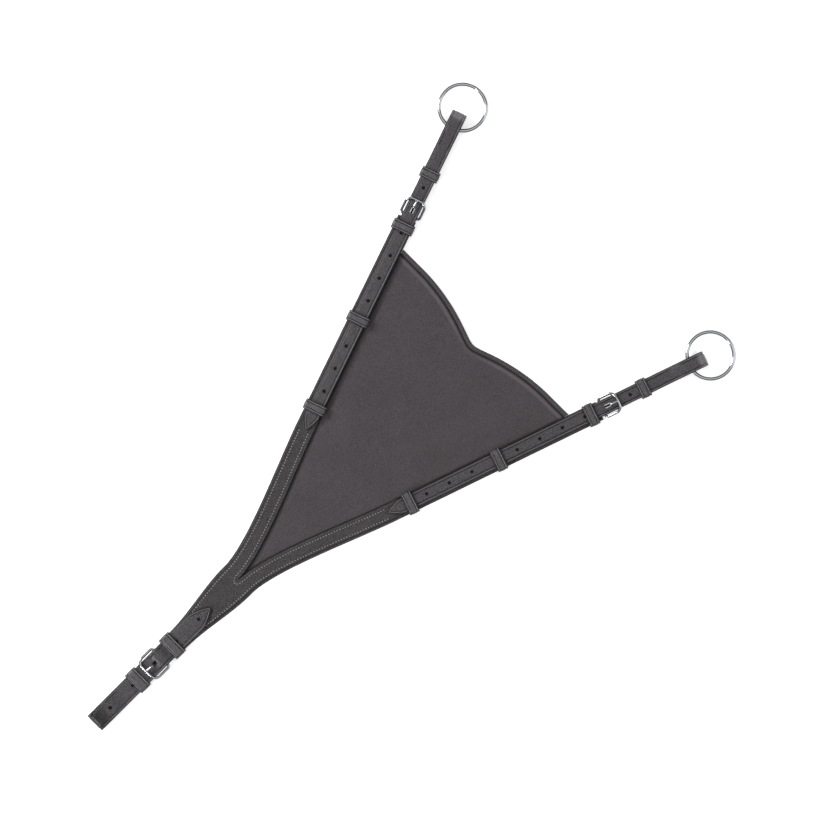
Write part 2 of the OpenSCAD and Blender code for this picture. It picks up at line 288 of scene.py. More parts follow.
@dataclass(frozen=True)
class Band:
    """The cross-section of a leather strap: rounded edges, a crease beside each, and a low crown.

    Attributes:
        crease_in: distance of the crease from the edge.
        crown: how much the face rises in the middle.
        near: distances from the edge at which a face is sampled.
        middle_step: distance between samples farther in.
        narrow: half-width under which the distances from the edge shrink.
        burnish: where the dark of the cut edge starts to fade, and over how much.
        back_dye: darkness of the back.
        crease_shade: darkness of the shade painted in the crease, and its width.
        ridge: distance of the ridge outside of the crease, the paleness of the highlight painted on it, and
            its width.
    """

    thick: float
    round_r: float = 0.8
    crease_in: float = 2.4
    crease_deep: float = 0.34
    crown: float = 0.16
    near: ClassVar[Array] = np.array(
        [0, 0.04, 0.12, 0.25, 0.42, 0.62, 0.85, 1.1, 1.35, 1.6, 1.85, 2.1, 2.35, 2.6, 3.0])
    middle_step: ClassVar[float] = 2.2
    narrow: ClassVar[float] = 3.6
    crease_w: ClassVar[float] = 0.36
    burnish: ClassVar[tuple[float, float]] = (0.7, 0.4)
    back_dye: ClassVar[float] = 0.85
    crease_shade: ClassVar[tuple[float, float]] = (0.9, 0.5)
    ridge: ClassVar[tuple[float, float, float]] = (1.0, 0.65, 0.34)

    def section(self, half_w: Array, front: bool) -> tuple[Array, Array, Array]:
        """Across position, height over the middle plane and tone of one face: dark cut edges, painted shade
        in the crease and a painted highlight on the ridge beside it.

        Height is t/2 - r + sqrt(r^2 - (r - d)^2) within r of the edge, less a Gaussian crease, plus a
        parabolic crown, where d is the distance from the edge.

        Args:
            half_w: half of the width at each point of the path.
            front: whether this is the creased face.

        Returns:
            Three arrays of one row per path point, from one edge to the other.
        """
        middle = np.linspace(1, 0, max(3, int(2 * float(half_w.max()) / self.middle_step)))[1:]
        half = half_w[:, None]
        squeeze = np.minimum(1, half / self.narrow)
        across = np.concatenate([half - self.near * squeeze, (half - self.near[-1] * squeeze) * middle],
                                axis=1)
        dist = half - across
        r = min(self.round_r, self.thick / 2)
        height = self.thick / 2 - r + np.sqrt(np.maximum(0, r * r - (r - np.clip(dist, 0, r)) ** 2))
        if front:
            height = height - self.crease_deep * squeeze * gauss(dist - self.crease_in, self.crease_w)
            height = height + self.crown * (1 - (across / np.maximum(half, 0.1)) ** 2)
        edge = fade(dist, *self.burnish)
        if not front:
            edge = np.maximum(edge, self.back_dye)
        elif self.crease_deep:
            # Painted shade in the crease, and a painted highlight on the ridge outside it.
            out, ridge_highlight, highlight_w = self.ridge
            edge = (edge + self.crease_shade[0] * gauss(dist - self.crease_in, self.crease_shade[1])
                    - ridge_highlight * gauss(dist - self.crease_in + out, highlight_w))
        mirror = slice(-2, None, -1)
        return (np.concatenate([across, -across[:, mirror]], axis=1),
                np.concatenate([height, height[:, mirror]], axis=1),
                np.concatenate([edge, edge[:, mirror]], axis=1))


def ribbon(path: Array, half_w: Array | float, band: Band, lift: Callable[[Array, Array], Array],
           closed: bool = False) -> Patch:
    """Carries a strap's cross-section along a plane path.

    Args:
        path: the middle line, in a plane that the width is square to.
        half_w: half of the width, one for each of its points or one for all.
        band: the cross-section.
        lift: turns (plane points, across positions) into local x, u, z points.
        closed: whether the path's end meets its start.

    Returns:
        The closed surface, its ends capped where the path is open.
    """
    normal = normals_2d(path, closed)
    half_w = np.broadcast_to(half_w, len(path))
    across, top, edge_top = band.section(half_w, True)
    back_across, bottom, edge_back = band.section(half_w, False)
    across = np.concatenate([across, back_across[:, -2:0:-1]], axis=1)
    height = np.concatenate([top, -bottom[:, -2:0:-1]], axis=1)
    edge = np.concatenate([edge_top, edge_back[:, -2:0:-1]], axis=1)
    plane = path[:, None, :] + normal[:, None, :] * height[..., None]
    rows, columns = across.shape
    faces = grid_faces(rows, columns, closed, True)
    if not closed:
        faces += end_caps(rows, columns)
        edge[[0, -1]] = 1
    return Patch(lift(plane, across).reshape(-1, 3), faces, edge.reshape(-1))


def along_strap(plane: Array, across: Array) -> Array:
    """Local points of a path drawn in the (u, z) plane."""
    return np.stack([across, plane[..., 0], plane[..., 1]], axis=-1)


def round_strap(u: float) -> Callable[[Array, Array], Array]:
    """How to lift a path drawn in an (x, z) plane, such as a keeper's.

    Args:
        u: place of the plane along the strap.

    Returns:
        The function that ribbon() takes as lift.
    """
    def lift(plane: Array, across: Array) -> Array:
        """Local points: x and z from the plane, u from the across position."""
        return np.stack([plane[..., 0], u + across, plane[..., 1]], axis=-1)
    return lift


def tube(path: Array, across: Array, up: Array, half_a: Array | float, half_b: Array | float, sides: int,
         closed: bool) -> Patch:
    """Carries an ellipse along a path: point + half_a cos(t) across + half_b sin(t) up.

    The two vectors and the two sizes are one for each point, or one for them all.

    Args:
        path: the middle line.
        across: a unit vector square to the path.
        up: another, square to both.
        half_a: half of the section's size along across.
        half_b: half of its size along up.
        sides: number of points round the section.
        closed: whether the path's end meets its start.

    Returns:
        The closed surface.
    """
    t = 2 * np.pi * np.arange(sides) / sides
    rows = len(path)
    across, up = (np.broadcast_to(vector, path.shape)[:, None, :] for vector in (across, up))
    half_a, half_b = (np.broadcast_to(half, rows)[:, None, None] for half in (half_a, half_b))
    ring = half_a * np.cos(t)[None, :, None] * across + half_b * np.sin(t)[None, :, None] * up
    faces = grid_faces(rows, sides, closed, True) + ([] if closed else end_caps(rows, sides))
    return Patch((path[:, None, :] + ring).reshape(-1, 3), faces, np.zeros(rows * sides))


def pegs(centres: Array, r: float, low: float, high: float, sides: int = 28) -> Patch:
    """Upright round pegs that punch a strap's holes.

    Args:
        centres: their middles, x and u.
        r: their radius.
        low: height of their lower ends.
        high: height of their upper ends.
        sides: number of points round each.

    Returns:
        The pegs as one patch.
    """
    t = 2 * np.pi * np.arange(sides) / sides
    faces = grid_faces(2, sides, False, True) + end_caps(2, sides)
    parts = []
    for x, u in centres:
        ring = np.stack([x + r * np.cos(t), u + r * np.sin(t)], axis=1)
        points = np.concatenate([np.column_stack([ring, np.full(sides, z)]) for z in (low, high)])
        parts.append(Patch(points, faces, np.zeros(2 * sides)))
    return join(parts)


def slab(x: float, u0: float, u1: float, z0: float, z1: float) -> Patch:
    """A plain block that cuts a slot.

    Args:
        x: half of its width.
        u0: where it starts along the strap.
        u1: where it ends.
        z0: height of its lower face.
        z1: height of its upper face.

    Returns:
        The block.
    """
    corners = np.array([[a, b, c] for a in (-x, x) for b in (u0, u1) for c in (z0, z1)], float)
    faces = [[0, 1, 3, 2], [4, 6, 7, 5], [0, 4, 5, 1], [2, 3, 7, 6], [0, 2, 6, 4], [1, 5, 7, 3]]
    return Patch(corners, faces, np.zeros(8))


def cut(piece: bpy.types.Object, cutter: Patch, place: Placement) -> None:
    """Cuts a patch's shape out of a piece and keeps the result in the piece's mesh.

    Args:
        piece: the piece.
        cutter: the shape, in local millimetres.
        place: where it lies.
    """
    tool = build(piece.name + "_cutter", cutter, place)
    step = piece.modifiers.new("cut", "BOOLEAN")
    step.object, step.operation, step.solver = tool, "DIFFERENCE", "EXACT"
    mesh = bpy.data.meshes.new_from_object(piece.evaluated_get(bpy.context.evaluated_depsgraph_get()))
    old = piece.data
    piece.modifiers.clear()
    piece.data = mesh
    mesh.set_sharp_from_angle(angle=math.radians(SHARP))
    bpy.data.objects.remove(tool)
    bpy.data.meshes.remove(old)


def stitches(route: Array, pitch: float, length: float, r: float, slant: float) -> Patch:
    """A row of thread: one small pillow per stitch, laid along the route a pitch apart.

    Each is a grid of 5 rings of 6 points: half-width r sin(a) at length/2 cos(a) along it.

    Args:
        route: the row's points, x, u, z.
        pitch: distance from one stitch to the next.
        length: length of a stitch.
        r: radius of the thread.
        slant: turn of each stitch off the row, in degrees.

    Returns:
        All the stitches as one patch.
    """
    at = resample(route, pitch)
    middle = (at[1:] + at[:-1]) / 2
    along = at[1:] - at[:-1]
    along /= np.linalg.norm(along, axis=1, keepdims=True)
    turn = math.radians(slant)
    side = np.stack([along[:, 1], -along[:, 0], np.zeros(len(along))], axis=1)
    side /= np.linalg.norm(side, axis=1, keepdims=True)
    ahead = math.cos(turn) * along + math.sin(turn) * side
    aside = math.cos(turn) * side - math.sin(turn) * along
    up = np.cross(aside, ahead)
    a = np.radians(np.array([8, 50, 90, 130, 172]))   # a small face is left at each end
    sides, count = 6, len(middle)
    t = 2 * np.pi * np.arange(sides) / sides
    reach = length / 2 * np.cos(a)
    width = r * np.sin(a)
    points = (middle[:, None, None, :] + reach[None, :, None, None] * ahead[:, None, None, :]
              + (width[:, None] * np.cos(t))[None, :, :, None] * aside[:, None, None, :]
              + (width[:, None] * np.sin(t))[None, :, :, None] * up[:, None, None, :])
    one, size = grid_faces(len(a), sides, False, True) + end_caps(len(a), sides), len(a) * sides
    faces = [[v + size * k for v in face] for k in range(count) for face in one]
    return Patch(points.reshape(-1, 3), faces, np.zeros(size * count))


# --- Materials --------------------------------------------------------------


def linear(hex_colour: str) -> tuple[float, float, float, float]:
    """The linear colour of an sRGB one.

    Args:
        hex_colour: the colour as #rrggbb.

    Returns:
        Its linear red, green and blue, and alpha 1.
    """
    value = np.array([int(hex_colour[k:k + 2], 16) for k in (1, 3, 5)]) / 255
    out = np.where(value <= 0.04045, value / 12.92, ((value + 0.055) / 1.055) ** 2.4)
    return (float(out[0]), float(out[1]), float(out[2]), 1.0)


def node(tree: bpy.types.NodeTree, kind: str, inputs: dict | None = None,
         **settings: object) -> bpy.types.Node:
    """Adds a node, sets its properties, and sets or links its inputs.

    Args:
        tree: the node tree.
        kind: the node's type name, without ShaderNode.
        inputs: socket name or number to a value, or to an output socket.
        **settings: properties of the node itself.

    Returns:
        The new node.
    """
    made = tree.nodes.new("ShaderNode" + kind)
    for key, value in settings.items():
        setattr(made, key, value)
    for key, value in (inputs or {}).items():
        socket = made.inputs[key]
        if isinstance(value, bpy.types.NodeSocket):
            tree.links.new(value, socket)
        else:
            socket.default_value = value
    return made


def ramp(tree: bpy.types.NodeTree, factor: bpy.types.NodeSocket,
         stops: list[tuple[float, tuple]]) -> bpy.types.Node:
    """A colour ramp.

    Args:
        tree: the node tree.
        factor: the socket that drives it.
        stops: its places and their linear colours.

    Returns:
        The ramp's node.
    """
    made = node(tree, "ValToRGB", {"Fac": factor})
    for k, (place, colour) in enumerate(stops):
        stop = made.color_ramp.elements[k] if k < 2 else made.color_ramp.elements.new(place)
        stop.position, stop.color = place, colour
    return made


def blank_material(name: str) -> bpy.types.Material:
    """Makes a material whose node tree is empty.

    Args:
        name: its name.

    Returns:
        The material.
    """
    made = bpy.data.materials.new(name)
    made.use_nodes = True
    made.node_tree.nodes.clear()
    return made


def show(tree: bpy.types.NodeTree, shader: bpy.types.Node, output: str = "OutputMaterial") -> None:
    """Links a shader to the tree's output."""
    tree.links.new(shader.outputs[0], node(tree, output).inputs["Surface"])


@dataclass(frozen=True)
class Leather:
    """Aniline-dyed cowhide: pores and pebbles from the hide, a waxed or soft-milled surface.

    The eye sees a low sheen broken by the grain, slow changes of tone from the dye, edges burnished
    darker where the leather was cut, painted shade in its creases, seams and recesses, and painted
    highlights on its ridges and bends.

    Attributes:
        base: the dyed colour.
        pale: the colour of the worn tops of the grain, and of the painted highlights on ridges and bends.
        dark: the colour of pores and cut edges, and of the painted shade in creases, seams and recesses.
        grain_mm: width of one pebble of grain; coarser than the real 0.5 mm so that it shows.
        grain_depth: strength of the grain's bump.
        coat: weight of the wax finish.
        sheen: weight of the nap, on unfinished faces.
        pores_per_pebble: how many pores lie along one pebble.
        cloud_mm: width of the dye's slow changes of tone.
        cloud: the least and the most that they multiply the colour by.
        valley: share of a pebble's width that its valley takes up.
    """

    name: str
    base: str
    pale: str
    dark: str
    grain_mm: float
    grain_depth: float
    rough: float
    coat: float = 0.0
    sheen: float = 0.0
    pores_per_pebble: ClassVar[float] = 1.7
    cloud_mm: ClassVar[float] = 38.0
    cloud: ClassVar[tuple[float, float]] = (0.90, 1.08)
    valley: ClassVar[float] = 0.22
    bump_m: ClassVar[float] = 0.0004

    def make(self) -> bpy.types.Material:
        """Builds the node material.

        Returns:
            The material.
        """
        made = blank_material(self.name)
        tree = made.node_tree
        place = node(tree, "TexCoord").outputs["Object"]
        per_m = 1000 / self.grain_mm
        pebbles = node(tree, "TexVoronoi", {"Vector": place, "Scale": per_m, "Randomness": 1.0},
                       feature="DISTANCE_TO_EDGE").outputs["Distance"]
        pores = node(tree, "TexNoise", {"Vector": place, "Scale": per_m * self.pores_per_pebble,
                                        "Detail": 3.0}).outputs["Fac"]
        tone = node(tree, "TexNoise", {"Vector": place, "Scale": 1000 / self.cloud_mm, "Detail": 4.0,
                                       "Roughness": 0.6}).outputs["Fac"]
        relief = node(tree, "MapRange", {"Value": pebbles, "From Max": self.valley}).outputs[0]
        grain = node(tree, "Math", {0: relief, 1: pores}, operation="MULTIPLY").outputs[0]
        colour = ramp(tree, grain, [(0.0, linear(self.dark)), (0.16, linear(self.base)),
                                    (1.0, linear(self.pale))]).outputs["Color"]
        cloud = node(tree, "MapRange", {"Value": tone, "From Min": 0.3, "From Max": 0.7,
                                        "To Min": self.cloud[0], "To Max": self.cloud[1]}).outputs[0]
        shade = node(tree, "VectorMath", {0: colour}, operation="SCALE")
        tree.links.new(cloud, shade.inputs["Scale"])
        # The edge attribute darkens cut edges and paints shade in creases, seams and recesses; below 0 it
        # paints highlights in the pale colour.
        edge = node(tree, "Attribute", attribute_name="edge").outputs["Fac"]
        # Sockets 0, 6 and 7 of a colour Mix are its factor and its two colours
        dark_edges_and_painted_light = node(tree, "Mix", {0: edge, 6: shade.outputs[0], 7: linear(self.dark)}, data_type="RGBA")
        painted_highlight = node(tree, "Math", {0: edge, 1: -1.0}, operation="MULTIPLY").outputs[0]
        dark_edges_and_painted_light = node(tree, "Mix", {0: painted_highlight, 6: dark_edges_and_painted_light.outputs[2], 7: linear(self.pale)}, data_type="RGBA")
        rough = node(tree, "MapRange", {"Value": grain, "To Min": min(1, self.rough + 0.12),
                                        "To Max": self.rough - 0.05}).outputs[0]
        bump = node(tree, "Bump", {"Height": grain, "Strength": self.grain_depth, "Distance": self.bump_m})
        shader = node(tree, "BsdfPrincipled", {
            "Base Color": dark_edges_and_painted_light.outputs[2], "Roughness": rough, "IOR": 1.42, "Normal": bump.outputs[0],
            "Coat Weight": self.coat, "Coat Roughness": 0.26, "Sheen Weight": self.sheen,
            "Sheen Roughness": 0.5})
        show(tree, shader)
        return made


@dataclass(frozen=True)
class Metal:
    """Polished stainless steel: drawn wire, tumbled bright, with fine handling marks.

    Attributes:
        mark_mm: size of the handling marks.
    """

    name: str
    colour: str
    rough: float
    mark_mm: ClassVar[float] = 2.5

    def make(self) -> bpy.types.Material:
        """Builds the node material.

        Returns:
            The material.
        """
        made = blank_material(self.name)
        tree = made.node_tree
        place = node(tree, "TexCoord").outputs["Object"]
        marks = node(tree, "TexNoise", {"Vector": place, "Scale": 1000 / self.mark_mm,
                                        "Detail": 5.0}).outputs["Fac"]
        rough = node(tree, "MapRange", {"Value": marks, "From Min": 0.3, "From Max": 0.7,
                                        "To Min": self.rough * 0.6, "To Max": self.rough * 1.6}).outputs[0]
        bump = node(tree, "Bump", {"Height": marks, "Strength": 0.03, "Distance": 0.0001})
        shader = node(tree, "BsdfPrincipled", {"Base Color": linear(self.colour), "Metallic": 1.0,
                                               "Roughness": rough, "Normal": bump.outputs[0]})
        show(tree, shader)
        return made


@dataclass(frozen=True)
class Thread:
    """Waxed linen thread: matt, twisted, a little paler than the leather.

    Attributes:
        dark: the colour between its strands.
        strand_mm: distance between strands; coarser than the real 0.3 mm so that it shows.
    """

    name: str
    colour: str
    dark: str
    strand_mm: ClassVar[float] = 0.9

    def make(self) -> bpy.types.Material:
        """Builds the node material.

        Returns:
            The material.
        """
        made = blank_material(self.name)
        tree = made.node_tree
        place = node(tree, "TexCoord").outputs["Object"]
        strands = node(tree, "TexWave", {"Vector": place, "Scale": 1000 / self.strand_mm, "Distortion": 1.0},
                       bands_direction="DIAGONAL").outputs["Fac"]
        colour = ramp(tree, strands, [(0.1, linear(self.dark)), (0.7, linear(self.colour))]).outputs["Color"]
        shader = node(tree, "BsdfPrincipled", {"Base Color": colour, "Roughness": 0.75})
        show(tree, shader)
        return made


@dataclass
class Finishes:
    """All of the object's materials, made once."""

    yoke: bpy.types.Material = field(default_factory=Leather(
        "waxed_bridle_leather_yoke", "#363234", "#736e71", "#100e0f", 1.0, 1.25, 0.44, coat=0.14).make)
    strap: bpy.types.Material = field(default_factory=Leather(
        "waxed_bridle_leather_strap", "#3e3a3c", "#7e7a7e", "#100e0f", 0.9, 1.00, 0.38, coat=0.20).make)
    keeper: bpy.types.Material = field(default_factory=Leather(
        "waxed_bridle_leather_keeper", "#3b3739", "#8e8a8e", "#0f0d0e", 0.9, 0.85, 0.32, coat=0.40).make)
    bib: bpy.types.Material = field(default_factory=Leather(
        "soft_milled_leather_bib", "#4a4447", "#5b5458", "#242021", 1.1, 0.95, 0.56, sheen=0.03).make)
    lining: bpy.types.Material = field(default_factory=Leather(
        "split_leather_lining", "#474243", "#565051", "#332f30", 0.9, 0.6, 0.82, sheen=0.25).make)
    steel: bpy.types.Material = field(default_factory=Metal(
        "polished_stainless_steel", "#b4b6b9", 0.14).make)
    thread: bpy.types.Material = field(default_factory=Thread(
        "waxed_linen_thread", "#b3aeaa", "#807b78").make)
    dark_thread: bpy.types.Material = field(default_factory=Thread(
        "waxed_linen_thread_dark", "#655f60", "#413d3e").make)


def finish_piece(piece: bpy.types.Object, material: bpy.types.Material, slot: Slot, body: str,
                 *nodes: str) -> None:
    """Dresses a piece, makes it ride on its body and stand for its CAD nodes.

    Args:
        piece: the object.
        material: what it is made of.
        slot: the record's slot for it; not used.
        body: the CAD body that it moves with.
        *nodes: the CAD nodes that it replaces.
    """
    piece.data.materials.clear()
    piece.data.materials.append(material)
    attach(piece, body)
    if nodes:
        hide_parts(*nodes)
    LOG.info("%s: %d faces, on %s", piece.name, len(piece.data.polygons), body)


# --- Buckled straps ---------------------------------------------------------


@dataclass
class BuckledStrap:
    """A strap that runs from its tail over a buckle, round a loop and back, with all that holds it.

    Sizes are in millimetres. u is counted from the buckle's rear bar towards the loop.

    Attributes:
        name: the first part of its pieces' names.
        cad: the first part of its CAD nodes' and bodies' names.
        strap_node: the CAD node of the strap itself.
        tail: how far its point lies behind the bar.
        reach: how far its loop's end lies beyond the bar.
        fold_end: where the turned-back run ends.
        bar_z: height of the rear bar's middle.
        taper_to: where the two runs have opened into the loop.
        dip_to: where the lower run has risen to lower_z.
        tongue_u: the hole that the tongue goes through.
        holes: their numbers, with 0 at the tongue.
        knee: where the tongue bends upwards, u and z.
        keepers: place of each fixed keeper and height of its inner foot, on the surface or on the bib.
        keeper_w: width inside them.
        keeper_shift: how far they lie outside the strap's middle.
        bend_painted_light: painted light on the loop's bend: painted shade above 0, painted highlight below.
        upper_z: height of the upper run's underside.
        lower_z: height of the lower run's underside where the running keeper wraps it.
        fold_z: its height elsewhere.
        slip: room above the strap.
        keeper_shade: painted shade on the strap beside a keeper: darkness, distance from it and width.
        sewn: heights between which the chape's legs lie, in the yoke.
        pin: half of the tongue's width and of its height.
        pin_taper: how much less they are at its tip.
        collar: half of the collar's thickness and of its width.
        corner_r: radius of the keepers' corners.
        step: distance between points round the buckle and the keepers.
        stitch: pitch, length, radius and slant in degrees of the edge's stitches.
    """

    name: str
    cad: str
    strap_node: str
    place: Placement
    finishes: Finishes
    width: float
    tail: float
    reach: float
    fold_end: float
    bar_z: float
    buckle_l: float
    taper_to: float
    dip_to: float
    tongue_u: float
    hole_step: float
    holes: tuple[int, ...]
    keeper_l: float
    runner_u: float
    knee: tuple[float, float]
    keepers: dict[str, tuple[float, float]]
    keeper_w: float
    keeper_shift: float
    bend_painted_light: float
    bend_l: float
    thick: float = 2.2
    loop_gap: float = 6.4
    upper_z: float = 4.3
    lower_z: float = 1.9
    fold_z: float = 0.3
    bar_r: float = 1.3
    chape_t: float = 0.9
    hole_r: float = 1.6
    keeper_t: float = 1.6
    slip: float = 0.3
    hump_l: float = 9.0
    dip_l: float = 12.0
    loop_taper: float = 18.0
    slot_half: float = 2.6
    keeper_shade: tuple[float, float, float] = (0.7, 0.4, 0.8)
    sewn: tuple[float, float] = (2.6, 4.2)
    pin: ClassVar[tuple[float, float]] = (1.12, 0.8)
    pin_taper: ClassVar[tuple[float, float]] = (0.2, 0.1)
    collar: ClassVar[tuple[float, float]] = (0.44, 1.1)
    corner_r: ClassVar[float] = 1.5
    step: ClassVar[float] = 0.7
    stitch: ClassVar[tuple[float, float, float, float]] = (2.5, 0.8 * 2.5, 0.3, 10)

    @property
    def front_z(self) -> float:
        """Height of the front bar's middle, over the strap."""
        return self.upper_z + self.thick + self.slip + self.bar_r

    def to_loop(self, u: Array) -> Array:
        """How far the runs have opened into the loop, from 0 to 1."""
        return smooth((u - self.taper_to + self.loop_taper) / self.loop_taper)

    def upper(self, u: Array) -> Array:
        """Underside of the upper run: flat, with smoothsteps up over the bar and up to the loop.

        Args:
            u: places along the strap.

        Returns:
            Its height at each.
        """
        hump = self.bar_z + self.bar_r + 0.15 + self.chape_t - self.upper_z
        rise = self.fold_z + self.thick + self.loop_gap - self.upper_z
        return self.upper_z + hump * (1 - smooth(np.abs(u) / self.hump_l)) + rise * self.to_loop(u)

    def lower(self, u: Array) -> Array:
        """Underside of the lower run: low by the buckle and the loop, raised where the runner wraps it."""
        raised = smooth((u - self.dip_to + self.dip_l) / self.dip_l) - self.to_loop(u)
        return self.fold_z + (self.lower_z - self.fold_z) * raised

    def route(self) -> Array:
        """The strap's middle line, from the tail's point round the loop to the folded end.

        Returns:
            Its points, u and z.
        """
        r = self.loop_gap / 2 + self.thick
        end_u = self.reach - r
        point = -self.tail + np.concatenate([[0.02, 0.1, 0.3, 0.6, 1.0], np.arange(1.6, 14, 0.8)])
        there = np.concatenate([point, np.arange(point[-1] + 1.5, end_u, 1.5), [end_u]])
        back = np.arange(end_u, self.fold_end, -1.5)
        mid = self.thick / 2
        out = np.column_stack([there, self.upper(there) + mid])
        turn = arc((end_u, self.fold_z + r), r - mid, 90, -90, 20)[1:-1]
        home = np.column_stack([back, self.lower(back) + mid])
        return np.concatenate([out, turn, home])

    def half_width(self, route: Array) -> Array:
        """Half of the width along the route: a power curve, share^0.62, over the tail's point.

        Args:
            route: the strap's middle line.

        Returns:
            The half-width at each of its points.
        """
        share = np.clip((route[:, 0] + self.tail) / (0.95 * self.width), 0, 1)
        lower = np.arange(len(route)) > len(route) // 2
        return self.width / 2 * np.where(lower, 1, share ** 0.62)

    def make_strap(self) -> None:
        """Builds the strap with its punched holes, with painted shade beside its keepers and painted light
        on its loop's bend.
        """
        route = self.route()
        patch = ribbon(route, self.half_width(route), Band(self.thick), along_strap)
        u = patch.points[:, 1]
        # Painted shade on the strap beside each keeper.
        dark, gap, spread = self.keeper_shade
        for held_u, _ in self.keepers.values():
            patch.edge += dark * gauss(np.abs(u - held_u) - self.keeper_l / 2 - gap, spread)
        # Painted light on the loop's bend: painted shade where the value is above 0 (the girth), painted
        # highlight where it is below 0 (the arms).
        patch.edge += self.bend_painted_light * smooth((u - self.reach + self.bend_l) / (0.68 * self.bend_l))
        piece = build(self.name + "_strap", patch, self.place)
        centres = np.array([[0, self.tongue_u + n * self.hole_step] for n in self.holes if n])
        low = self.upper_z - 0.12   # just under the upper run, clear of the lower one
        high = low + 25
        cut(piece, join([pegs(centres, self.hole_r, low, high),
                         slab(self.hole_r, self.tongue_u - self.slot_half, self.tongue_u + self.slot_half,
                              low, high)]), self.place)
        finish_piece(piece, self.finishes.strap, Slot.STRAP, HARNESS, self.strap_node)

    def make_chape(self) -> None:
        """Builds the leather round the rear bar, with a slot for the tongue and legs inside the yoke."""
        top, low = self.sewn[1] - self.chape_t / 2, self.sewn[0] + self.chape_t / 2
        turn = arc((0, self.bar_z), self.bar_r + 0.05 + self.chape_t / 2, 115, -115, 40)
        leg_u = np.linspace(-14, -4.2, 8)
        legs = [np.column_stack([leg_u, np.full(len(leg_u), top)]),
                np.column_stack([leg_u[::-1], np.full(len(leg_u), low)])]
        route = resample(np.concatenate([legs[0], turn, legs[1]]), 0.4)
        band = Band(self.chape_t, round_r=0.3, crease_deep=0.0, crown=0.0)
        patch = ribbon(route, self.width / 2, band, along_strap)
        piece = build(self.name + "_chape_leather", patch, self.place)
        cut(piece, slab(1.4, -self.bar_r - 1.2, 20, -1, 30), self.place)
        finish_piece(piece, self.finishes.strap, Slot.YOKE, HARNESS, f"{self.cad}_chape")

    def make_frame(self) -> None:
        """Builds the buckle's frame: a circle carried round a rounded rectangle through both bars.

        The front bar is bowed by a parabola.
        """
        half = self.width / 2 + 1 + self.bar_r
        rise = self.front_z - self.bar_z
        length = math.hypot(self.buckle_l, rise)
        tilt = np.array([0, self.buckle_l / length, rise / length])
        rear_r, front_r, bow, swell = 2.2, 4.6, 0.9, 0.12
        rear_x, front_x, front_y = half - rear_r, half - front_r, length - front_r
        loop = np.concatenate([
            arc((rear_x, rear_r), rear_r, -90, 0, 12), arc((front_x, front_y), front_r, 0, 90, 16),
            arc((-front_x, front_y), front_r, 90, 180, 16), arc((-rear_x, rear_r), rear_r, 180, 270, 12)])
        loop = resample(np.concatenate([loop, loop[:1]]), self.step)[:-1]
        front = smooth((loop[:, 1] - length + front_r) / front_r)
        loop[:, 1] += bow * front * (1 - (loop[:, 0] / half) ** 2)
        flat = normals_2d(loop, True)
        x_axis = np.array([1.0, 0, 0])
        middle = loop[:, :1] * x_axis + loop[:, 1:] * tilt + np.array([0, 0, self.bar_z])
        outward = -(flat[:, :1] * x_axis + flat[:, 1:] * tilt)
        side = 1 + swell * smooth((np.abs(loop[:, 0]) - half + 1.5) / 1.5)
        patch = tube(middle, outward, np.cross(x_axis, tilt), self.bar_r, self.bar_r * side, 20, True)
        piece = build(self.name + "_frame", patch, self.place)
        finish_piece(piece, self.finishes.steel, Slot.STEEL, HARNESS, f"{self.cad}_buckle_frame")

    def make_tongue(self) -> None:
        """Builds the tongue: an ellipse carried from the bar through the strap and over the front bar.

        The line's corners are cut three times at a quarter and three quarters, and a collar goes round
        the rear bar.
        """
        rest = self.front_z + self.bar_r + 0.85
        knee_u, knee_z = self.knee
        line = np.array([[0, self.bar_z], [knee_u - 0.6, knee_z], [knee_u + 0.8, knee_z + 0.4],
                         [knee_u + 4.2, rest - 0.7], [knee_u + 5.8, rest + 0.25],
                         [self.buckle_l, rest], [self.buckle_l + 2.2, rest - 0.45]])
        for _ in range(3):
            near, far = 0.75 * line[:-1] + 0.25 * line[1:], 0.25 * line[:-1] + 0.75 * line[1:]
            line = np.concatenate([line[:1], np.stack([near, far], axis=1).reshape(-1, 2), line[-1:]])
        line = resample(line, 0.5)
        count = len(line)
        along = np.linspace(0, 1, count)
        tip = np.sqrt(np.clip((1 - along) * count / 3.5, 0.04, 1))
        flat = np.zeros(count)
        x_axis = np.array([1.0, 0, 0])
        pin = tube(np.column_stack([flat, line]), x_axis, np.column_stack([flat, normals_2d(line, False)]),
                   *((half - less * along) * tip for half, less in zip(self.pin, self.pin_taper)),
                   16, False)
        steps = 40
        turn = np.radians(np.linspace(0, 360, steps, endpoint=False))
        spoke = np.column_stack([np.zeros(steps), np.cos(turn), np.sin(turn)])
        collar = tube(np.array([0, 0, self.bar_z]) + (self.bar_r + 0.5) * spoke, spoke, x_axis,
                      *self.collar, 14, True)
        piece = build(self.name + "_tongue_pin", join([pin, collar]), self.place)
        finish_piece(piece, self.finishes.steel, Slot.STEEL, f"{self.cad}_tongue",
                     f"{self.cad}_buckle_tongue")

    def keeper_path(self, inner_w: float, feet: tuple[float, float] | None) -> Array:
        """A keeper's middle line in (x, z): a bridge with two feet, or a closed loop where feet is None.

        Args:
            inner_w: width inside the keeper.
            feet: heights of the bridge's two ends.

        Returns:
            The points, clockwise, with rounded corners.
        """
        half = inner_w / 2 + self.keeper_t / 2
        top = self.upper_z + self.thick + self.slip + self.keeper_t / 2
        r = self.corner_r
        x = half - r
        crown = np.concatenate([arc((-x, top - r), r, 180, 90, 10), arc((x, top - r), r, 90, 0, 10)])
        if feet is not None:
            return resample(np.concatenate([[[-half, feet[0]]], crown, [[half, feet[1]]]]), self.step)
        low = self.keeper_t / 2
        base = np.concatenate([arc((x, low + r), r, 0, -90, 10), arc((-x, low + r), r, -90, -180, 10)])
        loop = np.concatenate([crown, base])
        return resample(np.concatenate([loop, loop[:1]]), self.step)[:-1]

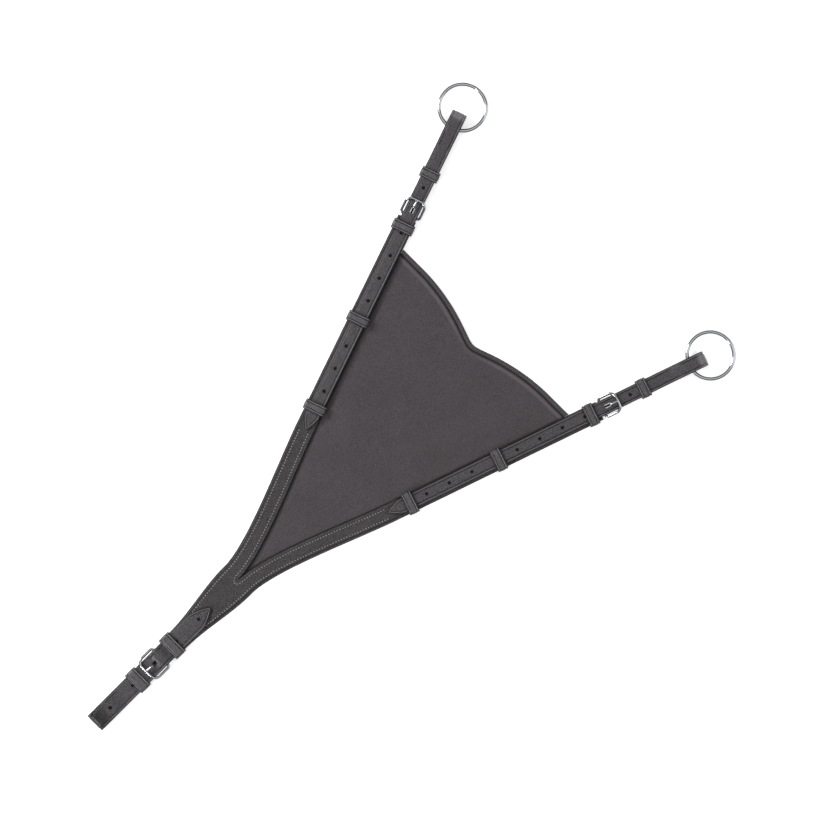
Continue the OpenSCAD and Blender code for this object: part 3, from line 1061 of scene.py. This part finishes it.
    def make_keeper(self, label: str, u: float, inner_w: float, shift: float,
                    feet: tuple[float, float] | None, body: str, node_name: str) -> None:
        """Builds a keeper: a creased band carried over the strap, or all the way round it.

        Args:
            label: the piece's name after the strap's.
            u: place of its middle.
            inner_w: width inside it.
            shift: how far it lies outside the strap's middle.
            feet: heights of its two ends, or None for a closed loop.
            body: the body that it moves with.
            node_name: the CAD node that it replaces.
        """
        path = self.keeper_path(inner_w, feet) + np.array([shift, 0])
        band = Band(self.keeper_t, round_r=0.75, crease_in=2.2, crease_deep=0.42, crown=0.12)
        patch = ribbon(path, self.keeper_l / 2, band, round_strap(u), feet is None)
        piece = build(f"{self.name}_{label}", patch, self.place)
        finish_piece(piece, self.finishes.keeper, Slot.KEEPER, body, node_name)

    def make(self) -> None:
        """Builds the strap, its chape, its buckle and its keepers."""
        self.make_strap()
        self.make_chape()
        self.make_frame()
        self.make_tongue()
        for label, (u, foot) in self.keepers.items():
            self.make_keeper(f"{label}_loop", u, self.keeper_w, self.keeper_shift, (foot, 0), HARNESS,
                             f"{self.cad}_{label}_keeper")
        self.make_keeper("runner", self.runner_u, self.width + 2 * self.slip, 0, None, f"{self.cad}_runner",
                         f"{self.cad}_running_keeper")

    def make_edge_thread(self, start: float, end: float, inset: float) -> None:
        """Builds a row of stitches along each edge of the upper run's face.

        Args:
            start: u of one end.
            end: u of the other.
            inset: distance from the strap's edges.
        """
        u = np.arange(start, end, 1.0)
        x, z = np.full(len(u), self.width / 2 - inset), self.upper(u) + self.thick + 0.02
        rows = join([stitches(np.column_stack([side * x, u, z]), *self.stitch) for side in (-1, 1)])
        piece = build(f"{self.name}_edge_thread", rows, self.place, 60)
        finish_piece(piece, self.finishes.dark_thread, Slot.STRAP, HARNESS)


@dataclass
class ReinRing:
    """A drawn steel ring that hangs in a ring strap's loop and lies against the surface."""

    outer_d: float = 46.0
    wire_d: float = 3.6
    wire_u: float = 87.1
    lift: float = 5.7
    steps: ClassVar[int] = 144
    sides: ClassVar[int] = 28

    def make(self, side: str, strap: BuckledStrap) -> None:
        """Builds the ring: a circle carried round a circle whose plane tips down to the surface.

        Args:
            side: left or right.
            strap: the strap that holds it.
        """
        r = (self.outer_d - self.wire_d) / 2
        lie = math.asin((self.lift - self.wire_d / 2) / (2 * r))
        ahead = np.array([0, math.cos(lie), -math.sin(lie)])
        up = np.array([0, math.sin(lie), math.cos(lie)])
        t = 2 * np.pi * np.arange(self.steps) / self.steps
        spoke = np.cos(t)[:, None] * np.array([1.0, 0, 0]) + np.sin(t)[:, None] * ahead
        centre = np.array([0, self.wire_u, self.lift]) + r * ahead
        half = self.wire_d / 2
        patch = tube(centre + r * spoke, spoke, up, half, half, self.sides, True)
        piece = build(f"{side}_rein_ring_wire", patch, strap.place)
        finish_piece(piece, strap.finishes.steel, Slot.STEEL, f"{side}_rein_ring", f"{side}_ring")


def make_arm(side: str, frame: dict, finishes: Finishes) -> None:
    """Builds one arm's ring strap, buckle, keepers and ring.

    Args:
        side: left or right.
        finishes: the materials.
    """
    strap = BuckledStrap(
        name=f"{side}_arm", cad=side, strap_node=f"{side}_ring_strap", finishes=finishes,
        place=placement(frame, f"{side}_tongue_lift", f"{side}_runner_slide", -1 if side == "left" else 1),
        width=14, tail=214, reach=103, fold_end=21.8, bar_z=2.8, buckle_l=14.5, taper_to=84.1, dip_to=21.8,
        tongue_u=5.2, hole_step=22.6, holes=tuple(range(-8, 2)), keeper_l=9.6, runner_u=41, knee=(3.4, 3.0),
        keepers={"buckle": (-11.8, 0.0), "upper": (-104.0, Yoke.bib_t), "lower": (-192.5, Yoke.bib_t)},
        keeper_w=Yoke.arm_w, keeper_shift=Yoke.arm_shift, bend_painted_light=-1.3, bend_l=8.5)
    strap.make()
    ReinRing().make(side, strap)


def make_girth(frame: dict, finishes: Finishes) -> None:
    """Builds the girth strap with its buckle, its keepers and the thread along its edges.

    Args:
        finishes: the materials.
    """
    strap = BuckledStrap(
        name="girth", cad="girth", strap_node="girth_strap", finishes=finishes,
        place=placement(frame, "girth_tongue_lift", "girth_runner_slide"),
        width=18.5, tail=63, reach=84, fold_end=-18, bar_z=4.9, buckle_l=17, taper_to=66, dip_to=20,
        tongue_u=7.6, hole_step=28, holes=(-2, -1, 0, 1, 2), keeper_l=11.5, runner_u=29, knee=(5.9, 3.9),
        keepers={"buckle": (-14.75, 0.0)}, keeper_w=Yoke.stem_w, keeper_shift=0, bend_painted_light=0.95, bend_l=22.0)
    strap.make()
    strap.make_edge_thread(36, 76, 2.0)


# --- Yoke -------------------------------------------------------------------


@dataclass
class Rows:
    """The yoke's right half as rows across it, from the stem's end up to the arm's end.

    Attributes:
        middle: each row's middle point, x and u.
        side: each row's unit direction towards the outer edge.
        half: half of each row's width.
        free: 0 where the row's inner end is welded to the other half, 1 along the arm.
        narrow: width under which the distances from the edges shrink.
    """

    middle: Array
    side: Array
    half: Array
    free: Array
    narrow: ClassVar[float] = 15.0

    def inset(self, outer: float) -> "Rows":
        """The same rows with the outer edge drawn in."""
        return Rows(self.middle - outer / 2 * self.side, self.side, self.half - outer / 2, self.free)

    def squeeze(self) -> Array:
        """How much the distances from the edges shrink where the stem is narrow."""
        return np.minimum(1, 2 * self.half / self.narrow)

    def points(self, from_inner: Array) -> Array:
        """The plan points at distances from the inner edge: rows by columns of them, or one row for all."""
        along = np.atleast_2d(from_inner.T).T - self.half[:, None]
        return self.middle[:, None, :] + along[..., None] * self.side[:, None, :]


def quads_between(a: Array, b: Array) -> list:
    """Quads between two lines of point numbers of the same length."""
    return np.stack([a[:-1], a[1:], b[1:], b[:-1]], axis=1).tolist()


def shell(plan: Array, low: Array, high: Array, edge: Array, welded: Array | None = None) -> Patch:
    """A closed shell between two height fields over one plan.

    Args:
        plan: the grid's points, rows by columns of x and u.
        low: height of the lower face at each.
        high: height of the upper face.
        edge: tone of the upper face, with its dark edges, painted shade and painted highlights, which the
            lower one repeats.
        welded: True at rows whose first column meets its mirror image, so it gets no wall.

    Returns:
        The shell.
    """
    rows, columns = plan.shape[:2]
    upper = np.arange(rows * columns).reshape(rows, columns)
    lower = upper + rows * columns
    faces = grid_faces(rows, columns, False, False)
    faces += [[v + rows * columns for v in reversed(face)] for face in faces]
    inner = quads_between(upper[:, 0], lower[:, 0])
    if welded is not None:
        inner = [quad for quad, shut in zip(inner, welded[:-1] & welded[1:]) if not shut]
    faces += inner + quads_between(upper[:, -1], lower[:, -1])
    faces += quads_between(upper[0], lower[0]) + quads_between(upper[-1], lower[-1])
    points = np.concatenate([np.dstack([plan, z]).reshape(-1, 3) for z in (high, low)])
    return Patch(points, faces, np.tile(edge.reshape(-1), 2))


def mirrored(patch: Patch) -> Patch:
    """A right half and its mirror image, joined; build() welds them where they meet at x = 0."""
    return join([patch, Patch(patch.points * np.array([-1, 1, 1]), patch.faces, patch.edge)])


@dataclass
class Yoke:
    """The Y of the yoke: a backing, a narrower top leather sewn on it, and the stitching.

    Sizes are in millimetres, from the fork, with u up the middle between the arms.

    Attributes:
        arm_angle: lean of a straight arm from the middle, in degrees.
        arm_foot: x of the straight arm's line at u = 0.
        arm_shift: how far an arm's middle lies outside its strap's.
        bend_end: where the bend out of the fork ends, along the arm.
        taper: where the stem starts and ends to narrow, below the fork.
        border: how far the backing shows outside of the top leather.
        bib_height: height of the bib's top edge at the arms.
        outer_row: distance of the outer stitches from the top leather's edge.
        inner_row: distance of the inner ones.
        stitch: pitch, length, radius and slant in degrees of the stitches.
        turn_deep: how far the inner row turns below the notch.
        tail_u: where the girth strap's and the ring straps' tails end.
        burnish: where the dark of a cut edge starts to fade, and over how much.
        ridge: distance of the ridge with a painted highlight from the edge, and its width.
        ridge_highlight: paleness of the highlight painted on the ridge beside the outer edge and beside the
            inner one.
        groove_w: width of the stitches' grooves.
        groove_shade: darkness of the shade painted in them.
        pull: length of the handles of the arm's bend.
    """

    place: Placement
    finishes: Finishes
    arm_angle: float = 19.0
    arm_length: float = 358.0
    arm_w: float = 17.5
    arm_foot: float = 5.8
    arm_shift: float = 1.0
    bend_end: float = 143.0
    stem_w: float = 20.6
    stem_length: float = 100.5
    taper: tuple[float, float] = (4.0, 79.5)
    border: float = 2.4
    back_t: float = 2.6
    top_t: float = 1.6
    bib_t: float = 1.8
    bib_height: float = 311.0
    outer_row: float = 2.3
    inner_row: float = 4.0
    stitch: tuple[float, float, float, float] = (2.7, 0.54 * 2.7, 0.48, 14.0)
    turn_deep: float = 9.0
    tail_u: tuple[float, float] = (-50.0, 152.0)
    burnish: ClassVar[tuple[float, float]] = (0.4, 0.5)
    ridge: ClassVar[tuple[float, float]] = (1.25, 0.32)
    ridge_highlight: ClassVar[tuple[float, float]] = (0.6, 0.5)
    groove_w: ClassVar[float] = 0.3
    groove_shade: ClassVar[float] = 0.6
    pull: ClassVar[float] = 50.0

    def arm_point(self, s: float, w: float = 0.0) -> Array:
        """The point s along a straight arm and w outside its strap's middle."""
        cos, sin = math.cos(math.radians(self.arm_angle)), math.sin(math.radians(self.arm_angle))
        return np.array([self.arm_foot + s * sin + w * cos, s * cos - w * sin])

    def arm_path(self, end: float) -> Array:
        """The arm's middle line: one Bezier curve out of the fork, then straight on.

        Args:
            end: where it stops, along the straight arm.

        Returns:
            Its points, about 1.8 mm apart.
        """
        a = math.radians(self.arm_angle + 1.2)
        p0 = np.array([self.arm_w / 2, 0])
        p3 = self.arm_point(self.bend_end, self.arm_shift)
        p1 = p0 + np.array([1.5, 0.62 * self.pull])
        p2 = p3 - self.pull * np.array([math.sin(a), math.cos(a)])
        t = np.linspace(0, 1, 200)[:, None]
        bend = (1 - t) ** 3 * p0 + 3 * (1 - t) ** 2 * t * p1 + 3 * (1 - t) * t * t * p2 + t ** 3 * p3
        return resample(np.concatenate([bend, [self.arm_point(end, self.arm_shift)]]), 1.8)

    def rows(self, arm_end: float, stem_end: float) -> Rows:
        """The right half's rows.

        Args:
            arm_end: where the arm stops, along it from the fork.
            stem_end: how far the stem goes below the fork.

        Returns:
            The rows, closer together round the fork's notch.
        """
        down = np.concatenate([np.arange(stem_end, 9, -1.6), np.linspace(9, 0.4, 20)])
        k = smooth((down - self.taper[0]) / (self.taper[1] - self.taper[0]))
        stem_half = ((1 - k) * self.arm_w + k * self.stem_w / 2) / 2
        arm = self.arm_path(arm_end)
        left = normals_2d(arm, False)
        left[0] = (-1, 0)
        middle = np.concatenate([np.column_stack([stem_half, -down]), arm])
        side = np.concatenate([np.tile([1.0, 0], (len(down), 1)), -left])
        half = np.concatenate([stem_half, np.full(len(arm), self.arm_w / 2)])
        free = np.concatenate([np.zeros(len(down)), np.ones(len(arm))])
        return Rows(middle, side, half, free)

    def columns(self, rows: Rows) -> Array:
        """Where each row is sampled: closest at the edges and the seams.

        Args:
            rows: the plan.

        Returns:
            Rows by columns of distances from the inner edge.
        """
        outer = np.array([0, 0.05, 0.15, 0.3, 0.5, 0.75, 1.1, 1.6, 1.9, 2.1, 2.3, 2.5, 2.7, 3.0, 3.4])
        inner = np.array([0, 0.05, 0.15, 0.3, 0.5, 0.75, 1.1, 2.2, 3.1, 3.5, 3.8, 4.0, 4.2, 4.5, 4.9])
        middle = np.array([0.40, 0.45, 0.5165, 0.5175, 0.58, 0.64, 0.70])
        squeeze = rows.squeeze()[:, None]
        width = 2 * rows.half[:, None]
        return np.concatenate([inner * squeeze, middle * width, width - outer[::-1] * squeeze], axis=1)

    def layer(self, rows: Rows, low: float, high: float, edge_r: float, groove: float,
              pocket: float) -> Patch:
        """One leather of the right half, between two heights.

        The face is high, less r - sqrt(r^2 - (r - d)^2) within r of an edge d away, less a Gaussian
        groove under each row of stitches. The back is flat, raised over the bib's side by the pocket.

        Args:
            rows: the plan.
            low: height of the back.
            high: height of the face.
            edge_r: radius of the worn edges.
            groove: depth of the grooves.
            pocket: how far the back is raised inside of the arm's middle.

        Returns:
            The shell.
        """
        from_inner = self.columns(rows)
        from_outer = 2 * rows.half[:, None] - from_inner
        plan = rows.points(from_inner)
        row_u = plan[:, :1, 1]
        notch = smooth((row_u + 3) / 3) * np.maximum(rows.free[:, None], 0.9)

        def fall(d: Array) -> Array:
            """How far a rounded edge lies under the flat at a distance d from it."""
            return edge_r - np.sqrt(np.maximum(0, edge_r ** 2 - (edge_r - np.clip(d, 0, edge_r)) ** 2))

        squeeze = rows.squeeze()[:, None]
        seams = (gauss(from_outer / squeeze - self.outer_row, self.groove_w)
                 + smooth((row_u + 4) / 6) * gauss(from_inner / squeeze - self.inner_row, self.groove_w))
        face = high - fall(from_outer) - notch * fall(from_inner) - groove * seams
        held = smooth((self.bib_height + 3 - row_u) / 1.0) * rows.free[:, None]
        back = low + pocket * held * (from_inner < 0.517 * 2 * rows.half[:, None])
        ridge_in, ridge_w = self.ridge
        # Dark cut edges, and painted highlights on the ridges inside them.
        edge = (np.maximum(fade(from_outer, *self.burnish), notch * fade(from_inner, *self.burnish))
                - self.ridge_highlight[0] * gauss(from_outer - ridge_in, ridge_w)
                - self.ridge_highlight[1] * notch * gauss(from_inner - ridge_in, ridge_w))
        if groove:
            # Painted shade in the stitch grooves, and under the straps.
            edge = np.maximum(edge + self.groove_shade * seams, self.painted_hole_shade(plan, rows, from_inner))
        else:
            # Painted shade on the backing where the top leather's edge meets it.
            edge = edge + gauss(from_outer - self.border, 0.4)
        return shell(plan, back, face, edge, rows.free < 0.5)

    def painted_hole_shade(self, plan: Array, rows: Rows, from_inner: Array) -> Array:
        """Painted shade on the top leather where the straps hide it, so that their holes look deep.

        Args:
            plan: the grid's points, x and u.
            rows: the plan.
            from_inner: their distances from the inner edge.

        Returns:
            1 under the middle of a strap, 0 clear of it.
        """
        arm = smooth((plan[..., 1] - self.tail_u[1]) / 5) * smooth(
            (4.5 - np.abs(from_inner - rows.half[:, None] + self.arm_shift)) / 1.5)
        stem = smooth((self.tail_u[0] - plan[..., 1]) / 5) * smooth((6 - np.abs(plan[..., 0])) / 1.5)
        return arm + stem

    def thread(self, rows: Rows) -> list[Array]:
        """The stitch rows: one along each outer edge, and one down an arm, round the notch and up the other.

        Args:
            rows: the top leather's plan.

        Returns:
            Each row's points, x, u, z.
        """
        z = self.back_t + self.top_t + 0.03
        squeeze = rows.squeeze()
        seen = (rows.middle[:, 1] > -54) & (rows.middle[:, 1] < self.arm_point(144)[1])
        outer = rows.points((2 * rows.half - self.outer_row * squeeze)[:, None])[seen, 0]
        arm = seen & (rows.free > 0.5) & (rows.middle[:, 1] > 1)
        inner = rows.points(np.full((len(rows.half), 1), self.inner_row))[arm, 0]
        turn = (arc((0, 0), 1, 0, -180, 24) * np.array([inner[0, 0], self.turn_deep])
                + np.array([0, inner[0, 1]]))
        flip = np.array([-1, 1])
        up_and_over = np.concatenate([inner[::-1], turn[1:-1], inner * flip])
        return [np.column_stack([run, np.full(len(run), z)]) for run in (outer, outer * flip, up_and_over)]

    def make(self) -> None:
        """Builds the backing, the top leather and the thread."""
        back = self.rows(self.arm_length - 3.2, self.stem_length - 18.1)
        top = self.rows(self.arm_length - 14.1, self.stem_length - 14.1).inset(self.border)
        for name, half in (
                ("yoke_backing", self.layer(back, 0.0, self.back_t - 0.01, 0.9, 0.0, self.bib_t + 0.1)),
                ("yoke_top", self.layer(top, self.back_t, self.back_t + self.top_t, 0.7, 0.30, 0.0))):
            finish_piece(build(f"{name}_leather", mirrored(half), self.place, 35), self.finishes.yoke,
                         Slot.YOKE, HARNESS, name)
        rows = join([stitches(run, *self.stitch) for run in self.thread(top)])
        finish_piece(build("yoke_stitching", rows, self.place, 60), self.finishes.thread, Slot.YOKE, HARNESS)


# --- Bib --------------------------------------------------------------------


@dataclass
class Bib:
    """The leather panel between the arms: face, lining, and a piped top edge that dips in the middle.

    Attributes:
        dip_reach: half of the dip's width.
        dip_round: how gently it turns in the middle.
        tuck: how far the panel goes under the piping.
        pucker: depth of the puckers along the arms, and the distance between them.
        seam: depth of the furrow beside the piping.
        ridge: distance of the ridge beyond the piping, its width and its height.
        sewn_side: how far from the arms the panel starts to lift, and over how much.
        sewn_top: the same below the top edge.
    """

    yoke: Yoke
    height: float = Yoke.bib_height
    dip: float = 16.2
    dip_reach: float = 80.0
    dip_round: float = 6.5
    face_t: float = 1.2
    lining_t: float = 0.6
    piping_d: float = 4.0
    tuck: float = 0.35
    wave: float = 0.9
    pucker: tuple[float, float] = (0.16, 9.0)
    seam: float = 0.55
    ridge: tuple[float, float, float] = (3.4, 1.5, 0.3)
    sewn_side: ClassVar[tuple[float, float]] = (2, 26)
    sewn_top: ClassVar[tuple[float, float]] = (4, 30)

    def top(self, x: Array) -> Array:
        """Height of the top edge at x: less a parabola in sqrt(x^2 + round^2), which ends at the reach."""
        left = np.maximum(0, self.dip_reach - np.hypot(x, self.dip_round))
        return self.height - self.dip * (left / (self.dip_reach - self.dip_round)) ** 2

    def half_width(self, u: Array) -> Array:
        """x of the bib's sewn side, which follows the arm's middle line, at a height u."""
        path = self.yoke.arm_path(self.height / math.cos(math.radians(self.yoke.arm_angle)) + 20)
        return np.interp(u, path[:, 1], path[:, 0])

    def plan(self) -> Array:
        """The panel's grid: x = v h(U), u = U - drop(x) r^4, with U the row's height at the sides.

        Returns:
            Rows by columns of x and u, from the fork to where the panel is tucked under the piping.
        """
        # Rows lie closest by the piping, and columns by the arms
        r = np.concatenate([np.linspace(0.0, 0.93, 150), np.linspace(0.9325, 1, 44)])
        v = np.sin(np.linspace(-90, 90, 121) * math.pi / 180 * 0.75) / math.sin(math.radians(67.5))
        side_u = r * (self.height - self.piping_d / 2 + self.tuck)
        x = v[None, :] * self.half_width(side_u)[:, None]
        drop = self.height - self.top(x)
        return np.stack([x, side_u[:, None] - drop * r[:, None] ** 4], axis=-1)

    def inside(self, x: Array, u: Array) -> Array:
        """Distance across from the arms' inner edges."""
        return self.half_width(u) - self.yoke.arm_w / 2 - np.abs(x)

    def rise(self, plan: Array) -> Array:
        """How far the soft panel lifts off the surface: low waves, flat where it is sewn down.

        Args:
            plan: the grid's points, x and u.

        Returns:
            The lift at each.
        """
        x, u = plan[..., 0], plan[..., 1]
        side, side_l = self.sewn_side
        top, top_l = self.sewn_top
        free = smooth((self.inside(x, u) - side) / side_l) * smooth((self.top(x) - u - top) / top_l)
        waves = (2.0 + np.sin(x / 23 + u / 41) + 0.7 * np.sin(u / 29 - x / 37 + 1.3)) / 3.7
        return self.wave * free * waves

    def make(self) -> None:
        """Builds the face, the lining, the piping and the seam under it."""
        plan = self.plan()
        rise = self.rise(plan)
        x, u = plan[..., 0], plan[..., 1]
        below = self.top(x) - self.piping_d / 2 - u
        inside = self.inside(x, u)
        out, width, lift = self.ridge
        ridge = gauss(below - out, width) * (0.25 + 0.75 * smooth(np.abs(x) / 34))
        deep, step = self.pucker
        pull = deep * (1 + np.cos(u * 2 * math.pi / step)) * gauss(inside, 5) * smooth(inside / 2)
        face = rise + self.lining_t + self.face_t - self.seam * fade(below, 0.4, 1.6) - pull + lift * ridge
        # Painted shade in the furrow under the piping and along the arms' inner edges, and a painted
        # highlight on the ridge below the furrow.
        edge = fade(below, 0.9, 0.9) - 1.25 * ridge + fade(inside, 0.6, 1.3)
        finishes = self.yoke.finishes
        for name, low, high, material, slot in (
                ("bib_face", rise + self.lining_t + 0.02, face, finishes.bib, Slot.BIB),
                ("bib_lining", rise, rise + self.lining_t, finishes.lining, Slot.LINING)):
            finish_piece(build(f"{name}_leather", shell(plan, low, high, edge), self.yoke.place, 50),
                         material, slot, HARNESS, name)
        self.make_piping()

    def make_piping(self) -> None:
        """Builds the piping: a circle carried along the top edge, its ends cut to the arms' slant.

        Every x is scaled by (arm's inner edge at that height - 0.2) / reach, so that both ends
        meet the arms.
        """
        lean = math.radians(self.yoke.arm_angle)
        reach = float(self.half_width(np.array([self.height]))[0] - self.yoke.arm_w / 2 / math.cos(lean))
        x = reach * np.linspace(-1, 1, 221)
        path = np.column_stack([x, self.top(x), np.full(len(x), self.piping_d / 2)])
        flat = normals_2d(path[:, :2], False)
        across = np.column_stack([flat, np.zeros(len(x))])
        r = self.piping_d / 2
        patch = tube(path, across, np.array([0.0, 0, 1]), r, r, 24, False)
        limit = reach + math.tan(lean) * (patch.points[:, 1] - self.height) - 0.2
        patch.points[:, 0] *= limit / reach
        finish_piece(build("bib_piping_roll", patch, self.yoke.place, 50), self.yoke.finishes.bib, Slot.BIB,
                     HARNESS, "bib_piping")


# --- Scene ------------------------------------------------------------------


@dataclass
class Studio:
    """A pale floor, soft lamps, and a long-lens camera straight above. Lengths are in metres.

    Attributes:
        floor_glow: light that the floor gives the camera and reflections, so that it shows white.
        lamps: each lamp's place, width and power.
        dome: the room's colour against height, dark low down and white overhead.
    """

    middle: tuple[float, float] = (0.00445, 0.0755)
    view_width: float = 0.7425
    camera_height: float = 4.0
    sensor_mm: float = 36.0
    turn: float = 45.0
    floor_half: float = 3.0
    floor_glow: float = 0.55
    lamps: ClassVar[dict[str, tuple]] = {
        "key_lamp": ((-2.0, -0.5, 1.6), 0.8, 51),
        "rim_lamp": ((-0.1, -2.3, 1.2), 0.5, 28),
        "fill_lamp": ((1.4, 1.8, 1.3), 1.5, 15)}
    dome: ClassVar[dict[float, str]] = {0.0: "#0d0e0f", 0.55: "#1c1d1f", 0.82: "#a2a4a7", 0.94: "#ffffff"}
    dome_glow: float = 1.05

    def floor(self) -> None:
        """A plain floor at z = 0 that shows white to the camera and keeps the object's shadow."""
        mesh = bpy.data.meshes.new("floor")
        half = self.floor_half
        mesh.from_pydata([(-half, -half, 0), (half, -half, 0), (half, half, 0), (-half, half, 0)], [],
                         [(0, 1, 2, 3)])
        floor = bpy.data.objects.new("floor", mesh)
        bpy.context.scene.collection.objects.link(floor)
        made = blank_material("matt_white_backdrop")
        tree = made.node_tree
        paper = node(tree, "BsdfDiffuse", {"Color": linear("#f4f4f4")})
        glow = node(tree, "Emission", {"Color": linear("#ffffff"), "Strength": self.floor_glow})
        both = node(tree, "AddShader", {0: paper.outputs[0], 1: glow.outputs[0]})
        path = node(tree, "LightPath")
        seen = node(tree, "Math", {0: path.outputs["Is Camera Ray"], 1: path.outputs["Is Glossy Ray"]},
                    operation="MAXIMUM")
        show(tree, node(tree, "MixShader", {0: seen.outputs[0], 1: paper.outputs[0], 2: both.outputs[0]}))
        mesh.materials.append(made)

    def lamp(self, name: str, place: tuple[float, float, float], size: float, power: float) -> None:
        """A square area lamp that points at the object's middle.

        Args:
            name: its name.
            place: where it stands, in metres.
            size: its width.
            power: its power in watts.
        """
        data = bpy.data.lights.new(name, "AREA")
        data.size, data.energy = size, power
        lamp = bpy.data.objects.new(name, data)
        lamp.location = place
        lamp.rotation_euler = (-lamp.location).to_track_quat("-Z", "Y").to_euler()
        bpy.context.scene.collection.objects.link(lamp)

    def world(self) -> bpy.types.World:
        """The room: a dome that lights the object and shows white to the camera.

        Returns:
            The world.
        """
        world = bpy.data.worlds.new("pale_room")
        world.use_nodes = True
        tree = world.node_tree
        tree.nodes.clear()
        height = node(tree, "SeparateXYZ", {0: node(tree, "TexCoord").outputs["Generated"]}).outputs["Z"]
        stops = [(place, linear(colour)) for place, colour in self.dome.items()]
        sky = node(tree, "Background", {"Color": ramp(tree, height, stops).outputs["Color"],
                                        "Strength": self.dome_glow})
        white = node(tree, "Background", {"Color": linear("#ffffff"), "Strength": 1.0})
        path = node(tree, "LightPath")
        show(tree, node(tree, "MixShader", {0: path.outputs["Is Camera Ray"], 1: sky.outputs[0],
                                            2: white.outputs[0]}), "OutputWorld")
        return world

    def make(self) -> None:
        """Builds the floor, the lamps, the world and the camera."""
        self.floor()
        for name, lamp in self.lamps.items():
            self.lamp(name, *lamp)
        scene = bpy.context.scene
        scene.world = self.world()
        data = bpy.data.cameras.new("camera")
        data.sensor_width = self.sensor_mm
        data.lens = self.sensor_mm * self.camera_height / self.view_width
        camera = bpy.data.objects.new("camera", data)
        camera.location = (*self.middle, self.camera_height)
        camera.rotation_euler = (0, 0, math.radians(self.turn))
        scene.collection.objects.link(camera)
        scene.camera = camera
        scene.view_settings.view_transform = "Standard"


def main() -> None:
    """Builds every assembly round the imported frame."""
    logging.basicConfig(level=logging.INFO, format="%(name)s: %(message)s")
    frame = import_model()
    Studio().make()
    finishes = Finishes()
    girth = placement(frame, "girth_tongue_lift", "girth_runner_slide")
    yoke = Yoke(Placement((0.0, girth.origin[1] + Yoke.stem_length * MM), (0.0, 1.0)), finishes)
    yoke.make()
    Bib(yoke).make()
    for side in ("left", "right"):
        make_arm(side, frame, finishes)
    make_girth(frame, finishes)


if __name__ == "__main__":
    main()
